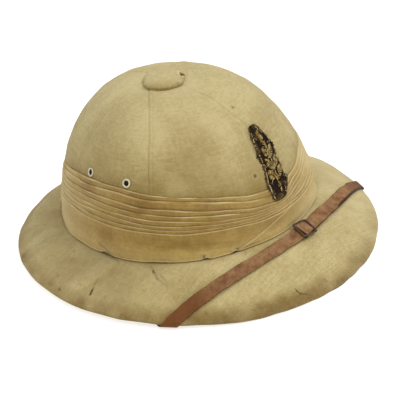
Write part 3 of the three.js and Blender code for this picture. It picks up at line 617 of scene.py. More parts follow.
def felt_material(name):
    """Worn wool felt: near black with brown where the nap is gone, fuzzy and dull."""
    material, tree, shader = new_material(name)
    place = add_node(tree, "ShaderNodeTexCoord").outputs["Object"]
    cloud = add_node(tree, "ShaderNodeTexNoise", {"Vector": place, "Scale": 1 / (2.6 * MM), "Detail": 6.0,
                     "Roughness": 0.75}).outputs["Fac"]
    amount = add_node(tree, "ShaderNodeMapRange", {"Value": cloud, "From Min": 0.38, "From Max": 0.68})
    wool = add_node(tree, "ShaderNodeMix", {0: amount.outputs[0], 6: colour("#0d0906"),
                    7: colour("#2d1f12")}, data_type="RGBA").outputs[2]
    pale = add_node(tree, "ShaderNodeAttribute", attribute_name="pale").outputs["Fac"]
    frayed = add_node(tree, "ShaderNodeMath", {0: pale, 1: amount.outputs[0]}, operation="MULTIPLY",
                      use_clamp=True).outputs[0]
    wool = add_node(tree, "ShaderNodeMix", {0: frayed, 6: wool, 7: colour("#6f5a33")},
                    data_type="RGBA").outputs[2]
    tree.links.new(wool, shader.inputs["Base Color"])
    nap = add_node(tree, "ShaderNodeTexNoise", {"Vector": place, "Scale": 1 / (0.7 * MM), "Detail": 4.0})
    bump = add_node(tree, "ShaderNodeBump", {"Height": nap.outputs["Fac"], "Strength": 0.8,
                    "Distance": 0.5 * MM})
    tree.links.new(bump.outputs[0], shader.inputs["Normal"])
    shader.inputs["Roughness"].default_value = 0.97
    shader.inputs["Specular IOR Level"].default_value = 0.12
    return material


def thread_material(name):
    """Metal-wrapped and cotton threads: dull gold at tint 0, cream at 1, black with age in patches."""
    material, tree, shader = new_material(name)
    place = add_node(tree, "ShaderNodeTexCoord").outputs["Object"]
    tint = add_node(tree, "ShaderNodeAttribute", attribute_name="tint").outputs["Fac"]
    wrapped = add_node(tree, "ShaderNodeMix", {0: tint, 6: colour("#a5832f"), 7: colour("#d6c79b")},
                       data_type="RGBA").outputs[2]
    cloud = add_node(tree, "ShaderNodeTexNoise", {"Vector": place, "Scale": 1 / (2.2 * MM), "Detail": 5.0,
                     "Roughness": 0.7}).outputs["Fac"]
    aged = add_node(tree, "ShaderNodeMapRange", {"Value": cloud, "From Min": 0.38, "From Max": 0.62,
                    "To Max": 0.82}).outputs[0]
    wrapped = add_node(tree, "ShaderNodeMix", {0: aged, 6: wrapped, 7: colour("#2f2316")},
                       data_type="RGBA").outputs[2]
    tree.links.new(wrapped, shader.inputs["Base Color"])
    shader.inputs["Metallic"].default_value = 0.25
    shader.inputs["Roughness"].default_value = 0.5
    return material


def pith_material(name):
    """Bare moulded pith: pale straw colour, matt, with short fibres."""
    material, tree, shader = new_material(name)
    place = add_node(tree, "ShaderNodeTexCoord").outputs["Object"]
    broad = add_node(tree, "ShaderNodeTexNoise", {"Vector": place, "Scale": 1 / (26 * MM), "Detail": 5.0,
                     "Roughness": 0.6}).outputs["Fac"]
    amount = add_node(tree, "ShaderNodeMapRange", {"Value": broad, "From Min": 0.3, "From Max": 0.7})
    straw = add_node(tree, "ShaderNodeMix", {0: amount.outputs[0], 6: colour("#ab9464"),
                     7: colour("#cbb887")}, data_type="RGBA").outputs[2]
    tree.links.new(straw, shader.inputs["Base Color"])
    fibres = add_node(tree, "ShaderNodeMapping", {"Vector": place, "Scale": (900, 900, 160)})
    grain = add_node(tree, "ShaderNodeTexNoise", {"Vector": fibres.outputs[0], "Scale": 1.0, "Detail": 4.0})
    bump = add_node(tree, "ShaderNodeBump", {"Height": grain.outputs["Fac"], "Strength": 0.5,
                    "Distance": 0.4 * MM})
    tree.links.new(bump.outputs[0], shader.inputs["Normal"])
    shader.inputs["Roughness"].default_value = 0.96
    return material


# Cotton drill of the crown and brim; its thread is drawn twice as coarse as it is, to show at all
crown_cloth = drill_material("worn_cotton_drill", ("#b8aa7a", "#a59562"), 1.1, 0.85, 0.55, "#7c6529", 38)
brim_cloth = drill_material("soiled_cotton_drill", ("#baab7b", "#a79763"), 1.1, 0.74, 0.55, "#7a6331", 30)
# Thinner muslin of the folded band, warmer with age
band_cloth = drill_material("folded_cotton_muslin", ("#b39956", "#997e3e"), 0.9, 0.55, 0.36, "#6d4f1a", 26)
strap_leather = leather_material("tanned_harness_leather")
dark_brass = metal_material("tarnished_brass", "#46301a", "#120b04", 0.1, 0.4, 0.7)
eyelet_tin = metal_material("tinned_eyelet_brass", "#cfcaae", "#8d8464", 0.25, 0.38, 0.6)
patch_felt = felt_material("worn_wool_felt")
sprig_thread = thread_material("aged_metal_thread")
bare_pith = pith_material("moulded_pith")


# Eyelets just above the band, and their sizes
EYELETS = {"eyelet_right_front": 76.5, "eyelet_right_back": 101.0, "eyelet_left_front": -76.5,
           "eyelet_left_back": -101.0}
EYELET_ABOVE_BAND = 4.8
EYELET_BORE = 1.9
EYELET_BARREL = 2.4

eyelet_holes = []
for eyelet, angle in EYELETS.items():
    up = up_at_height(angle, band_height(angle) + EYELET_ABOVE_BAND)
    seat = on_crown(angle, up, 0.0)
    eyelet_holes.append({"name": eyelet, "angle": angle, "place": seat,
                         "axis": unit(on_crown(angle, up, 1.0) - seat), "radius": EYELET_BARREL + 0.1})


def outer_marks(loops, **marks):
    """Marks from 0 to 1 on a wall's outer face, with none on the rest of its rings."""
    return {key: np.pad(np.clip(value, 0, 1), ((0, 0), (0, loops.shape[1] - value.shape[1])))
            for key, value in marks.items()}


# Crown

# Felled side seams: width of the strip, its stitched lines, the stitches' pitch and the puckers', in mm
FELL_WIDTH = 4.5
STITCHED_LINES = (1.2, 3.6)
STITCH_PITCH = 2.6
PUCKER_PITCH = 3.1


def from_top(points):
    """Distance in plan from the crown's top."""
    return np.hypot(points[..., 0], points[..., 1] - CROWN_TOP_BACK)


def crown_dents(points):
    """Unevenness of the crown's surface: slow hollows and small creases, in millimetres."""
    return 0.45 * unevenness(points, 70, 3) + 0.12 * unevenness(points, 17, 4)


def seam_angle(seam, radius):
    """Angle of a seam at a radius from the crown's top: its own angle and the table's turn."""
    side = -1 if 180 < seam < 360 else 1
    rows = SEAM_TURNS[360 - seam if seam > 180 else seam]
    return seam + side * np.interp(radius, [row[0] for row in rows], [row[1] for row in rows])


def crown_panel(number, start, end):
    """One gore of the crown: a grid of angle and upward share, denser by its seams and turned down into
    them. A side seam lies under a felled strip on the gore nearer the front or the back."""
    x = np.linspace(0, 1, 100)
    spread = x - 0.75 * np.sin(2 * np.pi * x) / (2 * np.pi)
    ups = np.linspace(0, 0.965, 130)
    spread, up = np.meshgrid(spread, ups, indexing="ij")
    base = crown_form(start + (end - start) * spread, up)
    radius = from_top(base)
    first, last = seam_angle(start, radius), seam_angle(end, radius)
    angle = first + (last - first) * spread
    base = crown_form(angle, up)
    radius = from_top(base)
    from_start = np.radians(angle - first) * radius
    from_end = np.radians(last - angle) * radius
    seam = np.minimum(from_start, from_end)
    out = crown_dents(base)
    out -= 0.42 * bump_at(seam, 0.7) + 0.2 * bump_at(seam, 2.2)
    pucker = np.sin(base[..., 2] * 2 * np.pi / PUCKER_PITCH + unevenness(base, 30, 8))
    out += 0.07 * pucker * bump_at(seam - 1.8, 1.6)
    felled = from_end if end in (64.5, 114) else from_start if start in (246, 295.5) else None
    mark = 0.07 * bump_at(seam, 0.6)
    if felled is not None:
        out += 0.4 * (1 - step_up(felled, 4.0, 4.9)) * step_up(felled, 0.5, 1.2)
        for line in STITCHED_LINES:
            stitched = bump_at(felled - line, 0.45)
            out -= 0.14 * stitched
            mark += 0.16 * stitched * (0.55 + 0.45 * np.sin(base[..., 2] * 2 * np.pi / STITCH_PITCH))
        mark += 0.12 * bump_at(felled - FELL_WIDTH, 0.5)
    height = base[..., 2] - junction(angle)[..., 2]
    above = height - band_top(angle)
    out = out * (1 - 0.95 * bump_at(above, 10))
    cap_centre = (CAP_SHIFT[0], CROWN_TOP_BACK + CAP_SHIFT[1])
    from_cap = np.hypot(base[..., 0] - cap_centre[0], base[..., 1] - cap_centre[1]) - CAP_RADIUS
    out = np.maximum(out - 0.7 * (1 - step_up(from_cap, 0, 14)), -1.2)
    right = step_up(np.cos(np.radians(angle - 62)), -0.2, 1.0)
    dirt = 0.3 * bump_at(np.maximum(above, 0), 6) + 0.12 * blotches(base, 55, 12, 0.2, 1.6)
    dirt += (0.2 + 0.36 * right) * (1 - step_up(above + 7 * unevenness(base, 48, 13), 0, 66))
    dirt += 0.16 * bump_at(from_cap, 2)
    pale = 0.16 * blotches(base, 42, 15, 0.3, 2.0) + 0.2 * step_up(base[..., 2], 105, 146)
    for turned, high, size, tone, ring in CROWN_MARKS:
        near = np.linalg.norm(base - on_crown(turned, up_at_height(turned, high), 0.0), axis=-1)
        mark += tone * bump_at(near, size)
        dirt += (0.2 + ring) * bump_at(near, size * 2.2)
        pale += ring * bump_at(near - size * 2.2, 0.8)
    for hole in eyelet_holes:
        mark += 0.35 * bump_at(np.linalg.norm(base - hole["place"], axis=-1) - 4.1, 0.7)
    outer = on_crown(angle, up, out)
    inner = on_crown(angle, up, -CLOTH + np.zeros_like(out))
    loops = there_and_back(outer, inner)
    middle = np.radians(angle - (start + end) / 2) * radius
    rise = run_lengths(base)
    flat = np.stack([middle, rise], -1)
    flat = there_and_back(flat, flat)
    marks = {key: np.clip(there_and_back(value, value), 0, 1)
             for key, value in (("dirt", dirt), ("mark", mark), ("pale", pale))}
    holes = [hole for hole in eyelet_holes if start < hole["angle"] % 360 < end]
    piece = wall_piece(f"crown_cloth_{number}", loops, False, flat, crown_cloth, [f"crown_panel_{number}"],
                       "khaki_cloth", holes=holes, **marks)


# Brim

# Rings of the brim's cloth over its top, round its rim and under it
TOP_RINGS = 66
RIM_RINGS = 20
UNDER_RINGS = 40


def strap_plan(x):
    """The strap's middle line across the brim in plan and its slope, pulled to the power 1.5 to the rim."""
    rim = rim_centre(np.array(float(STRAP_RIM_ANGLE)))
    middle = junction(np.array(0.0))[1] - (GAP + BAND_THICK) - STRAP_FROM_BAND - STRAP_WIDTH / 2
    share = np.abs(x / rim[0])
    turned = 1 + share ** 8 * (1 - share)
    slope = (rim[1] - middle) * 1.5 * share ** 0.5 / abs(rim[0]) * np.sign(x)
    return middle + (rim[1] - middle) * share ** 1.5 * turned, slope


def brim_lumps(points, out, angle):
    """Height of the brim's lumps: long waves, short creases near the crown and dents by the rim."""
    near_rim = step_up(out, 0.7, 1.0)
    front = bump_at(signed(angle), 48)
    lumps = 0.55 * unevenness(points, 62, 21) + 0.2 * unevenness(points, 24, 22)
    lumps += near_rim * front * 0.45 * unevenness(points, 17, 23)
    return 0.85 * np.tanh(lumps / 0.85) * step_up(out, 0.0, 0.12)


def brim_piece():
    """Cloth of the brim: rings from the crown's foot over the top, round the rim and back under to the
    head opening, with an inner face one cloth's thickness in."""
    angles = spread_angles(620, [(86.3, 1.6), (61.5, 5), (82, 4), (18, 2.5), (34, 1.5), (98.6, 1.5)])
    angles = angles[:, None]
    start = out_at_distance(angles, GAP)
    lip = out_at_distance(angles, -WALL)
    top = start + (1 - start) * np.linspace(0, 1, TOP_RINGS)[None]
    under = 1 + (lip - 1) * np.linspace(0, 1, UNDER_RINGS)[None]
    turns = np.linspace(78, -78, RIM_RINGS)[None]

    def face(top_out, turned, under_out, radius):
        parts = [on_brim(angles, top_out, radius), on_rim(angles, turned, radius),
                 on_brim(angles, under_out, -radius)]
        outs = [top_out, np.ones(parts[1].shape[:2]), under_out]
        return np.concatenate(parts, 1), np.concatenate(outs, 1)

    outer, out = face(top, turns, under, RIM)
    inner, inner_out = face(top[:, ::6], turns[:, ::4], under[:, ::5], RIM - CLOTH)
    angle = np.broadcast_to(angles, out.shape)
    plan = outer * [1, 1, 0]
    lift = brim_lumps(plan, out, angle)
    inner_lift = brim_lumps(inner * [1, 1, 0], inner_out, np.broadcast_to(angles, inner_out.shape))
    rim = step_up(out, 0.9, 1.0)
    turned = signed(angle)
    outer = outer + unit(plan) * (0.25 * unevenness(plan, 36, 25) * rim)[..., None]
    outer[..., 2] = np.maximum(outer[..., 2] + lift, 0.02)
    inner[..., 2] = np.maximum(inner[..., 2] + inner_lift, 0.9)
    is_top = np.zeros(out.shape)
    is_top[:, :TOP_RINGS + RIM_RINGS // 2] = 1
    edge = np.concatenate([np.zeros(TOP_RINGS), step_up(np.linspace(0, 1, RIM_RINGS), 0.1, 0.7),
                           np.zeros(UNDER_RINGS)])
    soiled = np.clip(0.55 + 0.45 * unevenness(plan, 26, 28), 0.3, 1)
    gripped = (0.9 + 0.22 * unevenness(plan, 24, 31)) * (0.45 + 1.15 * bump_at(turned - 26, 32))
    dirt = 0.5 * bump_at(out, 0.05) + 0.9 * step_up(out, 0.74, 1.0) * gripped * is_top + 0.6 * edge
    dirt += 0.2 * blotches(plan, 46, 26, 0.1, 1.7) + 0.12 * blotches(plan, 15, 30, 0.6, 2.0)
    dirt += 0.3 * step_up(np.cos(np.radians(angle - 116)), 0.1, 0.9) * is_top
    dirt += (1 - is_top) * 0.15
    mark = 0.3 * blotches(plan, 7, 27, 2.0, 2.9) + 0.34 * edge * soiled
    mark += 0.3 * rim * is_top * soiled * bump_at(turned - 24, 40)
    # Painted shadow on the brim along the strap's lower edge, and a fainter painted shadow along its upper
    # edge
    line, slope = strap_plan(plan[..., 0])
    beyond = (line - plan[..., 1]) / np.sqrt(1 + slope * slope) - STRAP_WIDTH / 2
    mark += 0.42 * bump_at(beyond - 0.6, 1.1) * is_top * (np.abs(plan[..., 0]) < 126)
    mark += 0.12 * bump_at(beyond + STRAP_WIDTH, 1.2) * is_top
    for *ends, width, tone, deep in BRIM_MARKS:
        near = from_segment(plan, *(on_brim(*np.array(end), 0.0) * [1, 1, 0] for end in ends))
        mark += tone * bump_at(near, width) * is_top
        outer[..., 2] -= deep * bump_at(near, width * 2.2) * is_top
    pale = 0.15 * blotches(plan, 35, 29, 0.8, 2.0) * is_top
    pale += 0.3 * step_up(np.cos(np.radians(angle + 80)), 0.3, 1.0) * is_top
    loops = there_and_back(outer, inner)
    flat = np.concatenate([loops, loops[:1]], 0)[..., :2]
    piece = wall_piece("brim_cloth", loops, True, flat, brim_cloth, ["brim_cover"], "khaki_cloth",
                       **outer_marks(loops, dirt=dirt, mark=mark, pale=pale))


# Slit, creases and a crack in the brim's cloth: two ends as angle and share across, width, how dark
# the painted shade in them is, and how deep
BRIM_MARKS = [
    ((86.5, 0.74), (86.5, 0.82), 0.8, 1.3, 0.5),
    ((86.0, 0.55), (86.5, 0.74), 0.5, 0.4, 0.3),
    ((65.0, 0.10), (62.5, 0.36), 0.9, 0.3, 0.3),
    ((62.5, 0.36), (59.0, 0.50), 1.0, 0.26, 0.3),
    ((64.2, 0.21), (63.8, 0.25), 0.9, 0.6, 0.2),
    ((61.0, 0.30), (58.6, 0.46), 0.9, 0.22, 0.3),
    ((86.0, 0.02), (79.0, 0.16), 1.0, 0.2, 0.35),
    ((84.0, 0.03), (80.0, 0.09), 0.6, 0.35, 0.4),
    ((18.5, 0.86), (18.0, 0.93), 0.6, 0.75, 0.4),
    ((18.0, 0.93), (16.2, 0.97), 0.6, 0.55, 0.3),
    ((20.5, 0.90), (18.4, 0.89), 0.5, 0.4, 0.3),
    ((35.0, 0.93), (33.5, 0.96), 0.6, 0.4, 0.3),
    ((99.0, 0.93), (98.3, 0.95), 0.9, 0.6, 0.3),
    ((-48.0, 0.12), (-48.4, 0.13), 0.8, 0.45, 0.2),
    ((146.0, 0.55), (149.0, 0.68), 0.6, 0.35, 0.3),
    ((-104.0, 0.42), (-100.0, 0.5), 0.8, 0.2, 0.4),
]


# Band

# Radius of the circle that the band's noise is drawn on
BAND_REACH = 110


def band_circle(angle):
    """Places on a level circle as wide as the band."""
    return np.stack([np.cos(np.radians(angle)), np.sin(np.radians(angle)), 0 * angle], -1) * BAND_REACH


def fold_edges(angle):
    """Shares of the eight folded edges at each angle, from the table, each wandering a little."""
    edges = [np.interp(signed(angle), list(FOLD_TABLE), column) for column in zip(*FOLD_TABLE.values())]
    wander = np.stack([unevenness(band_circle(angle), 55, 40 + k) for k in range(len(edges))], -1)
    wander[..., 0] = 0
    return np.stack(edges, -1) + 0.006 * wander


def on_band(angle, share, out):
    """Point on the band: share from its top down to its hem, at a distance from its inner face."""
    top = band_top(angle)
    lift = sum(high * bump_at(signed(angle) - place, width) for place, high, width in HEM_LIFTS)
    height = top + (GAP - top) * share + lift * step_up(share, 0.8, 1.0)
    return on_crown(angle, up_at_height(angle, height), GAP + out)


def band_piece():
    """Folded band: between two folded edges the cloth starts proud and sinks until the next edge, which
    overlaps it; below the last fold it hangs plain down to a stitched, rolled hem."""
    angles = spread_angles(640, [(87, 4), (41, 2.5), (28.5, 2.5), (12, 6)])
    edges = fold_edges(angles)
    circle = band_circle(angles)
    x = np.array([0, 0.1, 0.22, 0.36, 0.52, 0.68, 0.82, 0.93, 1.0])[None]
    shares, outs, shade, light = [], [], [], []
    for k in range(7):
        top, low = edges[:, k:k + 1], edges[:, k + 1:k + 2]
        tall = np.clip((low - top) / 0.07, 0.35, 1.25)
        worn = (1 + 0.25 * unevenness(circle, 40, 60 + k))[:, None]
        shares.append(top + (low - top) * x)
        outs.append(0.1 + FOLD_PROUD[k] * tall * worn * (1 - x) ** 0.75 * (1 - 0.35 * bump_at(x, 0.06)))
        # Painted shade at the foot of each fold, just above the next edge, and a painted highlight along
        # each folded edge
        shade.append((0.66 + 0.22 * unevenness(circle, 30, 80 + k))[:, None] * step_up(x, 0.66, 1.0))
        light.append((0.4 + 0.2 * unevenness(circle, 22, 90 + k))[:, None] * bump_at(x - 0.06, 0.12))
    top = edges[:, 7:8]
    rest = np.concatenate([[0, 0.012, 0.026, 0.045], np.linspace(0.07, 0.9, 28),
                           np.linspace(0.912, 1, 10)])[None]
    shares.append(top + (1 - top) * rest)
    last = FOLD_PROUD[7] * (1 + 0.2 * unevenness(circle, 40, 67))[:, None]
    hem = 0.6 * bump_at(rest - 0.968, 0.018) + 0.3 * step_up(rest, 0.95, 0.965)
    outs.append(0.15 + last * bump_at(rest, 0.2) * (1 - 0.35 * bump_at(rest, 0.012)) + hem)
    # Painted shade in the crease over the hem and in the gap under it; painted highlights on the last fold's
    # edge and on the rolled hem
    shade.append(0.3 * bump_at(rest - 0.94, 0.013) + 0.32 * step_up(rest, 0.978, 1.0) + 0 * top)
    light.append(0.42 * bump_at(rest - 0.008, 0.02) + 0.22 * bump_at(rest - 0.965, 0.012) + 0 * top)
    share, out, shade, light = (np.concatenate(part, 1) for part in (shares, outs, shade, light))
    angle = np.broadcast_to(angles[:, None], share.shape)
    turned = signed(angle)
    base = on_band(angle, share, np.zeros(share.shape))
    plain = step_up(share, 0.55, 0.75)
    out = out + plain * (0.3 * unevenness(base * [1, 1, 2.4], 44, 70) + 0.2)
    out += 0.1 * unevenness(base * [0.4, 0.4, 3], 16, 71)
    # A loose fold runs from where the folds gather down to the hem
    slant = 0.5 + (turned + 3) / 31 * 0.47
    across = (share - slant) * 50
    here = step_up(turned, -5, -1) * (1 - step_up(turned, 25, 29))
    out += here * 0.6 * step_up(across, -0.6, 1.0) * bump_at(np.maximum(across - 1, 0), 3)
    # Painted shade and painted highlight along the loose fold
    shade = shade + here * 0.5 * bump_at(across + 0.8, 0.6)
    light = light + here * 0.28 * bump_at(across - 1.1, 0.8)
    spread = np.stack([turned * 1.9, share * 50], -1)
    # Tucks and tears of the hem add painted shade
    for *ends, size, tone, rise in HEM_MARKS:
        near = from_segment(spread, *(np.array(end) * [1.9, 50] for end in ends))
        shade = shade + tone * bump_at(near, size)
        out = out + rise * bump_at(near, size * 1.6)
    hidden_side = np.maximum(step_up(-turned, 5, 40), step_up(turned, 118, 150))
    flush = (1 - 0.78 * hidden_side * (1 - step_up(share, 0.3, 0.7))) * (1 - 0.45 * bump_at(share, 0.03))
    snug = 0.75 * hidden_side * bump_at(share, 0.05)
    outer = on_band(angle, share, (0.75 + np.maximum(out, 0.05)) * flush - snug)
    inner_share = np.linspace(1, 0, 13)[None]
    snug = 0.75 * hidden_side[:, :1] * bump_at(inner_share, 0.05)
    loops = np.concatenate([outer, on_band(angles[:, None], inner_share, -snug)], 1)
    streak = unevenness(base * [0.35, 0.35, 2.2], 22, 73)
    front = step_up(np.cos(np.radians(turned - 58)), 0.15, 1.0)
    dirt = 0.26 * blotches(base, 40, 72, -0.4, 1.6) + 0.5 * (1 - step_up(share, 0.66, 0.9))
    dirt = dirt * (1 - 0.45 * hidden_side)
    dirt = (dirt + 0.25 * step_up(streak, 0.2, 1.8) * plain) * (0.15 + 0.85 * front)
    dirt = dirt * (1 - 0.55 * step_up(share, 0.78, 0.95))
    # Painted highlights fade on the hidden sides; the cloth low on the band and in patches away from the
    # front is paler
    light = light * (1 - 0.6 * hidden_side) + 0.12 * step_up(share, 0.72, 0.92)
    light = light + 0.42 * (1 - front) * blotches(base, 60, 74, -1.4, 0.8)
    shade = shade * (1 - 0.55 * hidden_side)
    around = np.radians(np.append(angles, 180.0))[:, None] * 112 * np.ones((1, loops.shape[1]))
    drop = run_lengths(loops)
    tall = float(drop[:, share.shape[1] - 1].mean())
    flat = np.stack([around, np.concatenate([drop, drop[:1]], 0)], -1)
    # The mark attribute carries the painted shade, and the pale attribute the painted highlights and the
    # paler cloth
    piece = wall_piece("pugaree_cloth", loops, True, flat, band_cloth, ["pugaree"], "pugaree_cloth",
                       **outer_marks(loops, dirt=dirt, mark=0.62 * shade, pale=light))


# Tuck, tears and fray of the band's hem: two ends as angle and share down the band, width, how dark
# its painted shade is and how far proud
HEM_MARKS = [
    ((91.0, 0.87), (84.5, 0.995), 1.0, 0.95, -0.3),
    ((92.5, 0.86), (87.0, 0.985), 1.1, 0.0, 0.8),
    ((80.0, 0.93), (78.5, 0.99), 0.9, 0.4, 0.3),
    ((42.0, 0.95), (42.0, 0.98), 1.1, 1.4, 0.0),
    ((39.5, 0.985), (38.5, 0.995), 1.4, 0.5, 0.7),
    ((27.5, 0.955), (27.2, 0.98), 1.1, 1.5, 0.0),
    ((30.5, 0.98), (29.5, 0.995), 1.4, 0.4, 0.7),
    ((-122.0, 0.96), (-121.0, 0.98), 1.8, 0.5, 0.4),
]
# Where the hem has come up off the brim: angle, how high in millimetres and how far round
HEM_LIFTS = [
    (87.5, 2.6, 2.2),
    (41.0, 1.3, 1.4),
    (28.8, 1.5, 1.5),
    (62.0, 0.5, 6.0),
    (104.0, 0.6, 5.0),
    (-60.0, 0.6, 7.0),
    (-122.0, 1.2, 2.0),
]


# Vent cap

def crown_polar(x, y):
    """The crown's angle and upward share under a place in plan, by six corrections of the angle."""
    aim = np.degrees(np.arctan2(-x, CROWN_TOP_BACK - y))
    angle = aim.copy()
    for correction in range(6):
        foot = junction(angle)
        seen = np.degrees(np.arctan2(-foot[..., 0], CROWN_TOP_BACK - foot[..., 1]))
        angle = angle + (aim - seen + 180) % 360 - 180
    radius = np.hypot(x, y - CROWN_TOP_BACK)
    return angle, np.where(radius > 0.05, up_at_radius(angle, np.maximum(radius, 0.05)), 1.0)


def cap_piece():
    """Vent cap: a polar grid about its own centre, a low dome with a steep gathered side, folds pulled
    towards a torn place at its edge, and a turned-in skirt and underside."""
    angles = np.linspace(-180, 180, 240, endpoint=False)[:, None]
    top = np.concatenate([np.linspace(0, 0.8, 24), np.linspace(0.83, 1.0, 14)])
    side = np.linspace(1, 0, CAP_SIDE + 1)[1:]
    shares = np.concatenate([top, np.ones(CAP_SIDE), np.linspace(0.96, 0, CAP_SIDE)])[None]
    height = CAP_HEIGHT * (1 - 0.5 * top ** 7) * (0.84 + 0.16 * (1 - top ** 2))
    heights = np.concatenate([height, height[-1] * side - 0.55 * (1 - side), np.full(CAP_SIDE, -0.6)])[None]
    turned = np.radians(angles)
    gathers = np.sin(turned * 31 + 2 * np.sin(turned * 5)) * (0.6 + 0.4 * np.sin(turned * 3 + 1))
    swell = np.interp(angles, *zip(*CAP_REACH)) + 0.008 * np.sin(turned * 7 + 1) + 0.008 * gathers
    x = CAP_SHIFT[0] - CAP_RADIUS * shares * swell * np.sin(turned)
    y = CROWN_TOP_BACK + CAP_SHIFT[1] - CAP_RADIUS * shares * swell * np.cos(turned)
    plan = np.stack([x, y, 0 * x], -1)
    visible = np.arange(shares.shape[1]) < len(top) + CAP_SIDE
    out = heights + 0.2 * unevenness(plan, 12, 80) * (1 - shares ** 6) * visible
    out = out + 0.2 * gathers * step_up(shares, 0.75, 0.95) * (heights > 0.5)
    offset = plan - [CAP_HOLE["x"], CAP_HOLE["y"], 0]
    cos, sin = math.cos(CAP_HOLE["turn"]), math.sin(CAP_HOLE["turn"])
    across = offset[..., 0] * cos + offset[..., 1] * sin
    along = -offset[..., 0] * sin + offset[..., 1] * cos
    three = np.maximum(-across, 0.5 * across + np.abs(along)) / CAP_HOLE["size"]
    hole = (1 - step_up(three, 0.8, 1.15)) * visible
    out = out * (1 - 0.9 * hole)
    far = np.linalg.norm(offset, axis=-1)
    folds = np.sin(far * 2 * np.pi / 2.3 + 0.6) * bump_at(far - 5.5, 2.6) * step_up(-along, -2.5, 1.5)
    out = out + 0.3 * folds * visible * (shares < 0.97)
    angle, up = crown_polar(x, y)
    loops = on_crown(angle, up, GAP + out)
    # Painted shade in the torn place and in the troughs of the folds and gathers
    mark = hole + 0.2 * np.clip(-folds, 0, 1)
    mark = mark + 0.14 * np.clip(-gathers, 0, 1) * step_up(shares, 0.8, 1) * visible
    dirt = 0.16 * step_up(shares, 0.8, 0.98) + 0.15 * blotches(plan, 14, 82, 0, 2)
    # Painted shade over the cap's side towards the front and the wearer's right
    dirt = dirt + 0.8 * step_up(-offset[..., 0] - offset[..., 1], 12, 44)
    # Pale frayed ring round the tear, and painted highlights on the folds' crests
    pale = 0.5 * bump_at(three - 1.5, 0.35) * (1 - hole) + 0.3 * np.clip(folds, 0, 1)
    # Painted highlight over the cap's top
    pale = pale + 0.25 * (1 - shares ** 2)
    flat = np.concatenate([loops, loops[:1]], 0)[..., :2]
    piece = wall_piece("vent_cap_cloth", loops, True, flat, crown_cloth, ["vent_cap"], "khaki_cloth",
                       weld=True, **outer_marks(loops, mark=mark, dirt=dirt, pale=pale * visible))


# Torn place at the cap's edge: its plan place, the way its point looks and its size
CAP_HOLE = {"x": 6.9, "y": 5.4, "turn": -0.75, "size": 2.2}
# Outline of the flattened cap: angle about its centre and reach as a share of its radius
CAP_REACH = [(-180, 0.97), (-100, 0.92), (-60, 0.91), (-26, 0.93), (-11, 0.99), (3.5, 1.07), (24, 1.11),
             (41, 1.17), (60, 1.25), (78, 1.29), (91, 1.27), (101, 1.22), (116, 1.08), (138, 1.0),
             (180, 0.97)]
# Rings of the cap's side, and of the cloth turned in under it
CAP_SIDE = 7


# Pith body

def pith_piece():
    """Pith body: rings down the crown's outside, out over the brim, round its edge, back under it and up
    the inside of the crown, with holes for the eyelets."""
    angles = np.linspace(-180, 180, 216, endpoint=False)[:, None]
    under = CLOTH + GAP
    core = RIM - under
    lip = out_at_distance(angles, -WALL)
    ups = np.linspace(1, 0, 56)[None]
    outs = np.linspace(0, 1, 14)[None]
    outer = np.concatenate([on_crown(angles, ups, -under - 0.2), on_brim(angles, outs, core),
                            on_rim(angles, -20, core)], 1)
    back = np.concatenate([on_rim(angles, -40, core), on_brim(angles, outs[:, ::-1], -core)], 1)
    back[:, -1:] = on_brim(angles, lip, -core)
    wall = on_crown(angles, ups[:, ::-1], -WALL)
    rough = 0.25 * unevenness(wall, 26, 90) + 0.12 * unevenness(wall, 7, 91)
    rough = rough * step_up(1 - ups[:, ::-1], 0, 0.1)
    wall = wall + unit(wall - [0, CROWN_TOP_BACK, 20]) * rough[..., None]
    loops = np.concatenate([outer, back, wall], 1)
    flat = np.zeros((len(angles) + 1, loops.shape[1], 2))
    return wall_piece("pith_body", loops, True, flat, bare_pith, ["shell"], "pith", holes=eyelet_holes,
                      weld=True)


# Eyelets and studs

def eyelet_pieces():
    """Rolled eyelets: a flange that turns over onto the cloth and a barrel through the wall."""
    turned = np.linspace(0, np.pi, 12)
    lip = np.stack([3.15 + 0.85 * np.cos(turned), 0.15 + 0.8 * np.sin(turned)], -1)
    profile = [(EYELET_BARREL, -WALL - 0.3), (EYELET_BARREL, 0.05), (3.4, 0.05), *map(tuple, lip),
               (EYELET_BORE + 0.05, 0.1), (EYELET_BORE, -0.6), (EYELET_BORE, -WALL - 0.3)]
    radius, height = np.array(profile).T
    for hole in eyelet_holes:
        # The bore's inner face is painted near black as the shade inside the hole
        lathe_piece(f"{hole['name']}_ring", profile, hole["place"], hole["axis"], 48, eyelet_tin,
                    [hole["name"]], "eyelet_metal", worn=0.25 * (height > 0.3)[None],
                    dark=0.9 * ((height < 0.2) & (radius < EYELET_BARREL))[None])


for i in range(6):
    crown_panel(i + 1, SEAMS[i], SEAMS[i + 1])
brim_piece()
band_piece()
cap_piece()
pith_piece()
eyelet_pieces()


# Chin strap

def under_plan(x, y):
    """Angle and share across the brim under a place in plan, halving the range 40 times."""
    guess = np.degrees(np.arctan2(-x / BRIM_WIDTH, -y / BRIM_LENGTH))

    def side(angle):
        foot, rim = junction(angle), rim_centre(angle)
        return (rim - foot)[..., 0] * (y - foot[..., 1]) - (rim - foot)[..., 1] * (x - foot[..., 0])

    low, high = guess - 25, guess + 25
    low_side = np.sign(side(low))
    for halving in range(40):
        middle = (low + high) / 2
        same = np.sign(side(middle)) == low_side
        low, high = np.where(same, middle, low), np.where(same, high, middle)
    foot, rim = junction(low), rim_centre(low)
    reach = np.hypot(rim[..., 0] - foot[..., 0], rim[..., 1] - foot[..., 1])
    return low, np.hypot(x - foot[..., 0], y - foot[..., 1]) / reach


def strap_line(x, level):
    """The strap's line across the front of the brim, at a level over its cloth, and the way up."""
    y = strap_plan(x)[0]
    angle, out = under_plan(x, y)
    lump = brim_lumps(on_brim(angle, out, RIM + 0 * x) * [1, 1, 0], out, angle)
    point = on_brim(angle, out, RIM + level)
    point[..., 2] += lump
    return point, brim_normal(angle, out)


